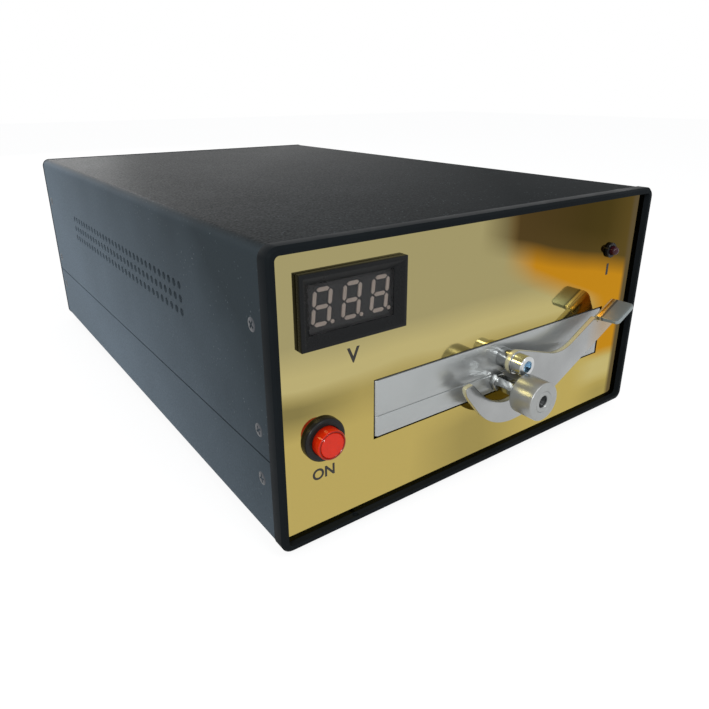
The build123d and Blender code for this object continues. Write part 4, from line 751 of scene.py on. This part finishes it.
def solids_of(node):
    """Lowest and highest corner of each solid of a node: right to left, back to front, foot to top."""
    shape = node_shape(node)
    left = set(shape.verts)
    boxes = []
    while left:
        found = set()
        near = {left.pop()}
        while near:
            found |= near
            near = {edge.other_vert(vert) for vert in near for edge in vert.link_edges} - found
        left -= found
        spots = [vert.co for vert in found]
        boxes.append([Vector(end(spot[axis] for spot in spots) for axis in range(3)) for end in (min, max)])
    shape.free()
    return sorted(boxes, key=lambda box: (-round(box[0].x / MM), -round(box[0].y / MM), round(box[0].z / MM)))


def joined(shapes):
    """Several shapes as one."""
    whole = bmesh.new()
    for shape in shapes:
        whole.from_mesh(mesh_of(shape, "share"))
    return whole


def moved(shape, matrix):
    """A shape, placed."""
    bmesh.ops.transform(shape, matrix=matrix, verts=shape.verts)
    return shape


class STAMP_OT_finishes(bpy.types.Operator):
    """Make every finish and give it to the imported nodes"""

    bl_idname = "stamp.finishes"
    bl_label = "Finishes"

    def execute(self, context):
        scene = context.scene
        FINISHES.update(make_finishes(scene.stamp_finish, scene.stamp_front, scene.stamp_latch))
        for node, item in frame["nodes"].items():
            item.data.materials.clear()
            item.data.materials.append(FINISHES[SLOT_OF[node]])
        return {"FINISHED"}


class STAMP_OT_case(bpy.types.Operator):
    """Bend the two shells from sheet and pierce their vents"""

    bl_idname = "stamp.case"
    bl_label = "Case shells"

    def shell(self, node, sizes, bends_low):
        low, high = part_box(node)
        shape = bmesh.new()
        block(shape, low, high)
        rounded(shape, long_edges(shape, bends_low), sizes.corner, 10)
        far = [f for f in shape.faces if abs(f.normal.y) > 0.9]
        level = low.z if not bends_low else high.z
        open_side = [f for f in shape.faces if abs(f.calc_center_median().z - level) < 0.01 * MM]
        bmesh.ops.delete(shape, geom=[*far, *open_side], context="FACES")
        bmesh.ops.recalc_face_normals(shape, faces=shape.faces)
        outward = max(shape.faces, key=lambda face: face.calc_center_median().x)
        if outward.normal.x < 0:
            bmesh.ops.reverse_faces(shape, faces=shape.faces)
        bmesh.ops.solidify(shape, geom=shape.faces, thickness=sizes.shell)
        return shape

    def execute(self, context):
        sizes = context.scene.stamp_case
        low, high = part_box("top_cover")
        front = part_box("front_bezel")[0].y
        reach = (high.x - low.x) * 1.2
        cutter = bmesh.new()
        for row in range(sizes.vent_rows):
            for column in range(sizes.vent_columns):
                y = front + sizes.vent_start + column * sizes.vent_pitch
                z = sizes.vent_low + row * sizes.vent_pitch
                rod(cutter, (0, y, z), sizes.vent / 2, reach, 20, "Y")
        cover = cut(self.shell("top_cover", sizes, False), cutter)
        piece("cover_sheet", cover, "top_cover")
        piece("base_sheet", self.shell("base_tray", sizes, True), "base_tray")
        return {"FINISHED"}


class STAMP_OT_screws(bpy.types.Operator):
    """Set cross-recessed screws in the case's sides"""

    bl_idname = "stamp.screws"
    bl_label = "Side screws"

    def screw(self, sizes, depth):
        """One countersunk screw that points along +Y, its head at the origin."""
        radius = sizes.screw_head / 2
        shank = radius / 2
        crown = 0.15 * MM
        profile = [(0, -crown), (radius * 0.55, -crown), (radius * 0.9, -crown * 0.4), (radius, crown)]
        profile += [(shank, sizes.shell), (shank, depth), (0, depth)]
        shape = turned(profile, Vector(), 32)
        half = sizes.recess_width / 2
        reach = sizes.recess_reach / 2
        for wide, high in ((half, reach), (reach, half)):
            arm = bmesh.new()
            block(arm, (-wide, -crown * 2, -high), (wide, sizes.shell, high))
            shape = cut(shape, arm)
        return shape

    def execute(self, context):
        sizes = context.scene.stamp_case
        boxes = solids_of("side_screws")
        depth = boxes[0][1].x - boxes[0][0].x
        screw = mesh_of(self.screw(sizes, depth), "side_screw")
        first_turn, next_turn = math.radians(17), math.radians(67)
        shapes = []
        for index, (low, high) in enumerate(boxes):
            side = 1 if low.x > 0 else -1
            middle = (low + high) / 2
            middle.x = high.x if side > 0 else low.x
            turn = Matrix.Rotation(side * math.pi / 2, 4, "Z")
            spin = Matrix.Rotation(first_turn + next_turn * index, 4, "Y")
            one = bmesh.new()
            one.from_mesh(screw)
            shapes.append(moved(one, Matrix.Translation(middle) @ turn @ spin))
        piece("cross_screws", joined(shapes), "side_screws")
        return {"FINISHED"}


class STAMP_OT_frames(bpy.types.Operator):
    """Round the moulded frames of the case and the voltmeter, and the feet"""

    bl_idname = "stamp.frames"
    bl_label = "Frames and feet"

    def execute(self, context):
        for node in ("front_bezel", "rear_frame", "rubber_feet", "meter_case"):
            dressed(node, context.scene.stamp_front.edge, 3)
        return {"FINISHED"}


class STAMP_OT_button(bpy.types.Operator):
    """Turn the start button's collar and cap, and the lamp's ring and dome"""

    bl_idname = "stamp.button"
    bl_label = "Button and lamp"

    def collar(self):
        centre, radius, top, end = round_node("button_body")
        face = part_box("front_panel")[0].y
        bore = round_node("button_cap")[1] + 0.05 * MM
        well = end - 9 * MM
        thread = radius - 1.3 * MM
        chamfer = 0.3 * MM
        profile = [(bore, well), (bore, top + chamfer), (bore + chamfer, top)]
        profile += quarter(radius, top, 1.2 * MM, 6)
        profile += [(radius, face), (thread, face), (thread, end), (bore * 0.8, end)]
        profile += [(bore * 0.8, well), (bore, well)]
        return turned(profile, centre)

    def cap(self, front):
        centre, radius, top, end = round_node("button_cap")
        groove = front.cap_groove
        side = 0.25 * MM
        dip = 0.05 * MM
        profile = [(0, top + dip), (groove * 0.6, top), (groove - side, top + dip)]
        profile += [(groove, top + 0.35 * MM), (groove + side, top + 0.1 * MM)]
        profile += quarter(radius, top, front.cap_round, 4)
        profile += [(radius, end), (0, end)]
        return turned(profile, centre)

    def lamp(self, front):
        centre, radius, top, end = round_node("lamp_ring")
        bore, dome, foot = round_node("lamp_lens")[1:]
        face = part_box("front_panel")[0].y
        thread = radius * 0.74
        radius *= front.lamp_share
        bore *= front.lamp_share
        sunk = (face - top) * (1 - front.lamp_rise)
        soft = 0.35 * MM
        top += sunk
        profile = [(bore, end), (bore, top + soft), (bore + soft, top), (radius - soft, top)]
        profile += [(radius, top + soft), (radius, face), (thread, face), (thread, end), (bore, end)]
        piece("lamp_collar", turned(profile, centre, 64), "lamp_ring")
        profile = [*quarter(bore, dome + sunk, bore, 12), (bore, foot), (0, foot)]
        piece("lamp_dome", turned(profile, centre, 64), "lamp_lens")

    def spring(self):
        """The button's return spring, in the shape that the CAD node gives it."""
        press = JOINTS["start_press"]
        near, far = (corner.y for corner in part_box("button_spring"))
        coil = piece("return_spring", node_shape("button_spring"), "button_spring")
        kept = 1 - press["range_m"][1] / (far - near)
        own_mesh(coil)

    def execute(self, context):
        front = context.scene.stamp_front
        self.spring()
        piece("button_collar", self.collar(), "button_body")
        piece("button_face", self.cap(front), "button_cap")
        self.lamp(front)
        return {"FINISHED"}


class STAMP_OT_drawer(bpy.types.Operator):
    """Round the drawer bars and the tray, and lay the foam cushion"""

    bl_idname = "stamp.drawer"
    bl_label = "Drawer cassette"

    def cushion(self):
        low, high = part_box("tray_cushion")
        shape = bmesh.new()
        block(shape, low, high)
        upright = [e for e in shape.edges if abs((e.verts[0].co - e.verts[1].co).normalized().z) > 0.9]
        rounded(shape, upright, 3 * MM, 5)
        crown = [e for e in shape.edges if min(v.co.z for v in e.verts) > high.z - 0.01 * MM]
        rounded(shape, crown, 0.8 * MM, 4)
        return shape

    def execute(self, context):
        latch = context.scene.stamp_latch
        seam = (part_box("lower_bar")[1].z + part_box("upper_bar")[0].z) / 2
        for node, side in (("lower_bar", -1), ("upper_bar", 1)):
            shape = node_shape(node)
            for vert in shape.verts:
                if abs(vert.co.z - seam) < latch.parting:
                    vert.co.z = seam + side * latch.parting / 10
            rounded(shape, sharp_edges(shape), latch.bar_edge, 3)
            piece(node + "_dressed", shape, node)
        for node in ("tray", "clamp_frame", "glass_clips", "exposure_glass"):
            dressed(node, latch.fine_edge)
        pad = piece("foam_cushion", self.cushion(), "tray_cushion")
        return {"FINISHED"}


class STAMP_OT_latch(bpy.types.Operator):
    """Round the latch lever and its pivot, and turn the pull knob"""

    bl_idname = "stamp.latch"
    bl_label = "Latch and knob"

    def knob(self):
        centre, radius, face, end = round_node("pull_knob")
        edge = 0.6 * MM
        hole = 2.5 * MM
        mouth = hole + 0.7 * MM
        groove = 4.9 * MM
        boss = 7.0 * MM
        back = end - 0.8 * MM
        first_turn, pitch, flank = 6.4 * MM, 0.78 * MM, 0.2 * MM
        profile = [(0, face + 7 * MM)]
        for step in range(7):
            y = face + first_turn - step * pitch
            profile += [(hole - 0.05 * MM, y + flank), (hole + 0.25 * MM, y - flank)]
        profile += [(hole, face + 1.0 * MM), (mouth, face + 0.1 * MM), (mouth + 0.15 * MM, face)]
        profile += [(groove - 0.3 * MM, face), (groove, face + 0.25 * MM), (groove + 0.3 * MM, face)]
        profile += quarter(radius, face, edge, 3)
        profile += quarter(radius, back, edge, 3, -1)[::-1]
        profile += [(boss, back), (boss, end), (0, end)]
        return turned(profile, centre, 128)

    def lever(self, latch):
        """The lever, its tab drawn thinner than the plate by the bend, with softened edges."""
        shape = node_shape("latch_lever")
        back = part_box("latch_lever")[1].y
        tilt = Matrix.Rotation(latch.arm_angle, 4, "Y")
        tab = [vert for vert in shape.verts if vert.co.y < back - latch.plate - MM]
        levels = {vert: (tilt @ vert.co).z for vert in tab}
        middle = (min(levels.values()) + max(levels.values())) / 2
        under = [vert for vert in tab if levels[vert] < middle]
        bmesh.ops.translate(shape, verts=under, vec=tilt.inverted() @ Vector((0, 0, latch.thinning)))
        rounded(shape, sharp_edges(shape), latch.edge, 3)
        return shape

    def screw(self, latch):
        """Cap screw with a hexagonal socket, its head turned and its edge rounded."""
        centre, radius, face, end = round_node("pivot_screw")
        head_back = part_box("latch_lever")[1].y - latch.plate - latch.play
        shank = latch.shank / 2
        profile = [(0, face), *quarter(radius, face, latch.head_edge, 5), (radius, head_back)]
        profile += [(shank, head_back), (shank, end), (0, end)]
        shape = turned(profile, centre)
        key = bmesh.new()
        start, stop = face - MM, face + latch.socket_depth
        corner = latch.socket / math.sqrt(3)
        rod(key, (centre.x, (start + stop) / 2, centre.z), corner, stop - start, 6, "X")
        return cut(shape, key)

    def spacer(self, latch):
        """Collar between the lever and the bar, its front edge chamfered."""
        centre, radius, near, far = round_node("pivot_spacer")
        bore = latch.shank / 2
        profile = [(bore, far), (bore, near), (radius - latch.edge, near), (radius, near + latch.edge)]
        profile += [(radius, far), (bore, far)]
        return turned(profile, centre)

    def execute(self, context):
        latch = context.scene.stamp_latch
        piece("lever_bent", self.lever(latch), "latch_lever", "lever_plate")
        for node in ("shaft_nut", "knob_shaft"):
            dressed(node, latch.fine_edge)
        piece("cap_screw", self.screw(latch), "pivot_screw", "socket_steel")
        piece("turned_spacer", self.spacer(latch), "pivot_spacer")
        piece("turned_knob", self.knob(), "pull_knob")
        return {"FINISHED"}


class STAMP_OT_marks(bpy.types.Operator):
    """Print plain marks on the panel, where a maker would put captions"""

    bl_idname = "stamp.marks"
    bl_label = "Panel marks"

    def letters(self, words, size, relief, place, weight=0.025):
        """Raised letters on the panel, centred on a place."""
        data = bpy.data.curves.new("letters", "FONT")
        data.body = words
        data.size = size
        data.offset = size * weight
        data.extrude = relief / 2
        data.align_x = "CENTER"
        data.align_y = "CENTER"
        item = bpy.data.objects.new("letters", data)
        bpy.context.collection.objects.link(item)
        depsgraph = bpy.context.evaluated_depsgraph_get()
        mesh = bpy.data.meshes.new_from_object(item.evaluated_get(depsgraph))
        bpy.data.objects.remove(item)
        bpy.data.curves.remove(data)
        shape = bmesh.new()
        shape.from_mesh(mesh)
        bpy.data.meshes.remove(mesh)
        return moved(shape, Matrix.Translation(place) @ Matrix.Rotation(math.pi / 2, 4, "X"))

    def execute(self, context):
        front = context.scene.stamp_front
        relief = front.mark_relief
        size = front.mark_size
        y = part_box("front_panel")[0].y - relief / 2
        meter, button, lamp = (middle_of(node) for node in ("meter_case", "button_body", "lamp_ring"))
        below_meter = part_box("meter_case")[0].z - 7.5 * MM
        below_button = button.z - 15.5 * MM
        below_lamp = lamp.z - 10.5 * MM
        shapes = [
            self.letters("V", size * 1.3, relief, (meter.x, y, below_meter)),
            self.letters("ON", size, relief, (button.x, y, below_button)),
            self.letters("1", size * 1.1, relief, (lamp.x, y, below_lamp), 0.07),
        ]
        piece("panel_marks", joined(shapes), finish="mark_ink")
        return {"FINISHED"}


class STAMP_OT_rear(bpy.types.Operator):
    """Round the fittings at the back"""

    bl_idname = "stamp.rear"
    bl_label = "Rear fittings"

    def execute(self, context):
        for node in ("power_inlet", "switch_body", "power_rocker", "fuse_holder", "fuse_cap", "inlet_screws"):
            dressed(node, context.scene.stamp_front.fitting_edge)
        return {"FINISHED"}


class STAMP_OT_stage(bpy.types.Operator):
    """Lay the floor, set the lights and the camera"""

    bl_idname = "stamp.stage"
    bl_label = "Stage"

    def lamp(self, name, place, size, power):
        light = bpy.data.lights.new(name, "AREA")
        light.shape = "RECTANGLE"
        light.size, light.size_y = size
        light.energy = power
        lamp = bpy.data.objects.new(name, light)
        lamp.visible_camera = False
        lamp.location = place
        lamp.rotation_euler = (Vector(LIT_POINT) - Vector(place)).to_track_quat("-Z", "Y").to_euler()
        bpy.context.collection.objects.link(lamp)

    def floor(self, stage):
        shape = bmesh.new()
        bmesh.ops.create_grid(shape, x_segments=1, y_segments=1, size=4.0)
        mesh = mesh_of(shape, "floor")
        item = bpy.data.objects.new("floor", mesh)
        bpy.context.collection.objects.link(item)
        finish = Finish("pale_floor", Roughness=0.9, Specular_IOR_Level=0.0, Base_Color=stage.floor)
        glow = finish.node("ShaderNodeEmission", None, {"Strength": 1.10})
        glow_share = 0.80
        finish.show("Material Output", finish.seen() * glow_share, finish.shader, glow)
        mesh.materials.append(finish.material)

    def surroundings(self, stage):
        """Lights the object plainly, and shows as white in the picture, in gloss and through glass."""
        world = bpy.data.worlds.new("surroundings")
        bpy.context.scene.world = world
        room = Tree(world)
        light = room.nodes["Background"]
        room.feed(light.inputs["Color"], stage.tint)
        room.feed(light.inputs["Strength"], stage.ambient)
        white = room.node("ShaderNodeBackground", None, {"Color": (1, 1, 1), "Strength": 1.0})
        room.show("World Output", room.seen(), light, white)

    def camera(self, stage):
        data = bpy.data.cameras.new("camera")
        data.sensor_width = FILM_WIDTH
        data.lens = data.sensor_width * stage.focal / PHOTO_SIDE
        middle = PHOTO_SIDE / 2
        data.shift_x = (middle - stage.centre_x) / PHOTO_SIDE
        data.shift_y = (stage.centre_y - middle) / PHOTO_SIDE
        item = bpy.data.objects.new("camera", data)
        bpy.context.collection.objects.link(item)
        turn = Matrix.Rotation(stage.azimuth, 4, "Z")
        tilt = Matrix.Rotation(math.pi / 2 - stage.elevation, 4, "X")
        roll = Matrix.Rotation(stage.roll, 4, "Z")
        front = Vector((0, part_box("front_bezel")[0].y, 0))
        place = Matrix.Translation(front + CAMERA_PLACE)
        item.matrix_world = place @ turn @ tilt @ roll
        bpy.context.scene.camera = item

    def execute(self, context):
        stage = context.scene.stamp_stage
        self.camera(stage)
        self.floor(stage)
        self.surroundings(stage)
        for name, (place, size) in LAMPS.items():
            self.lamp(name + "_light", place, size, getattr(stage, name))
        context.scene.view_settings.view_transform = "Standard"
        return {"FINISHED"}


class STAMP_PT_panel(bpy.types.Panel):
    """Lists the makers"""

    bl_idname = "STAMP_PT_panel"
    bl_label = "Flash stamp machine"
    bl_space_type = "VIEW_3D"
    bl_region_type = "UI"
    bl_category = "Stamp"

    def draw(self, context):
        for operator in OPERATORS:
            self.layout.operator(operator.bl_idname)


GROUPS = {
    "stamp_case": CaseSettings,
    "stamp_front": FrontSettings,
    "stamp_latch": LatchSettings,
    "stamp_finish": FinishSettings,
    "stamp_stage": StageSettings,
}
OPERATORS = (
    STAMP_OT_finishes,
    STAMP_OT_case,
    STAMP_OT_screws,
    STAMP_OT_frames,
    STAMP_OT_marks,
    STAMP_OT_button,
    STAMP_OT_drawer,
    STAMP_OT_latch,
    STAMP_OT_rear,
    STAMP_OT_stage,
)


def register():
    for name, group in GROUPS.items():
        bpy.utils.register_class(group)
        setattr(bpy.types.Scene, name, PointerProperty(type=group))
    for operator in OPERATORS:
        bpy.utils.register_class(operator)
    bpy.utils.register_class(STAMP_PT_panel)


def unregister():
    bpy.utils.unregister_class(STAMP_PT_panel)
    for operator in reversed(OPERATORS):
        bpy.utils.unregister_class(operator)
    for name, group in GROUPS.items():
        delattr(bpy.types.Scene, name)
        bpy.utils.unregister_class(group)


def main():
    register()
    for operator in OPERATORS:
        family, name = operator.bl_idname.split(".")
        getattr(getattr(bpy.ops, family), name)()


if __name__ == "__main__":
    main()
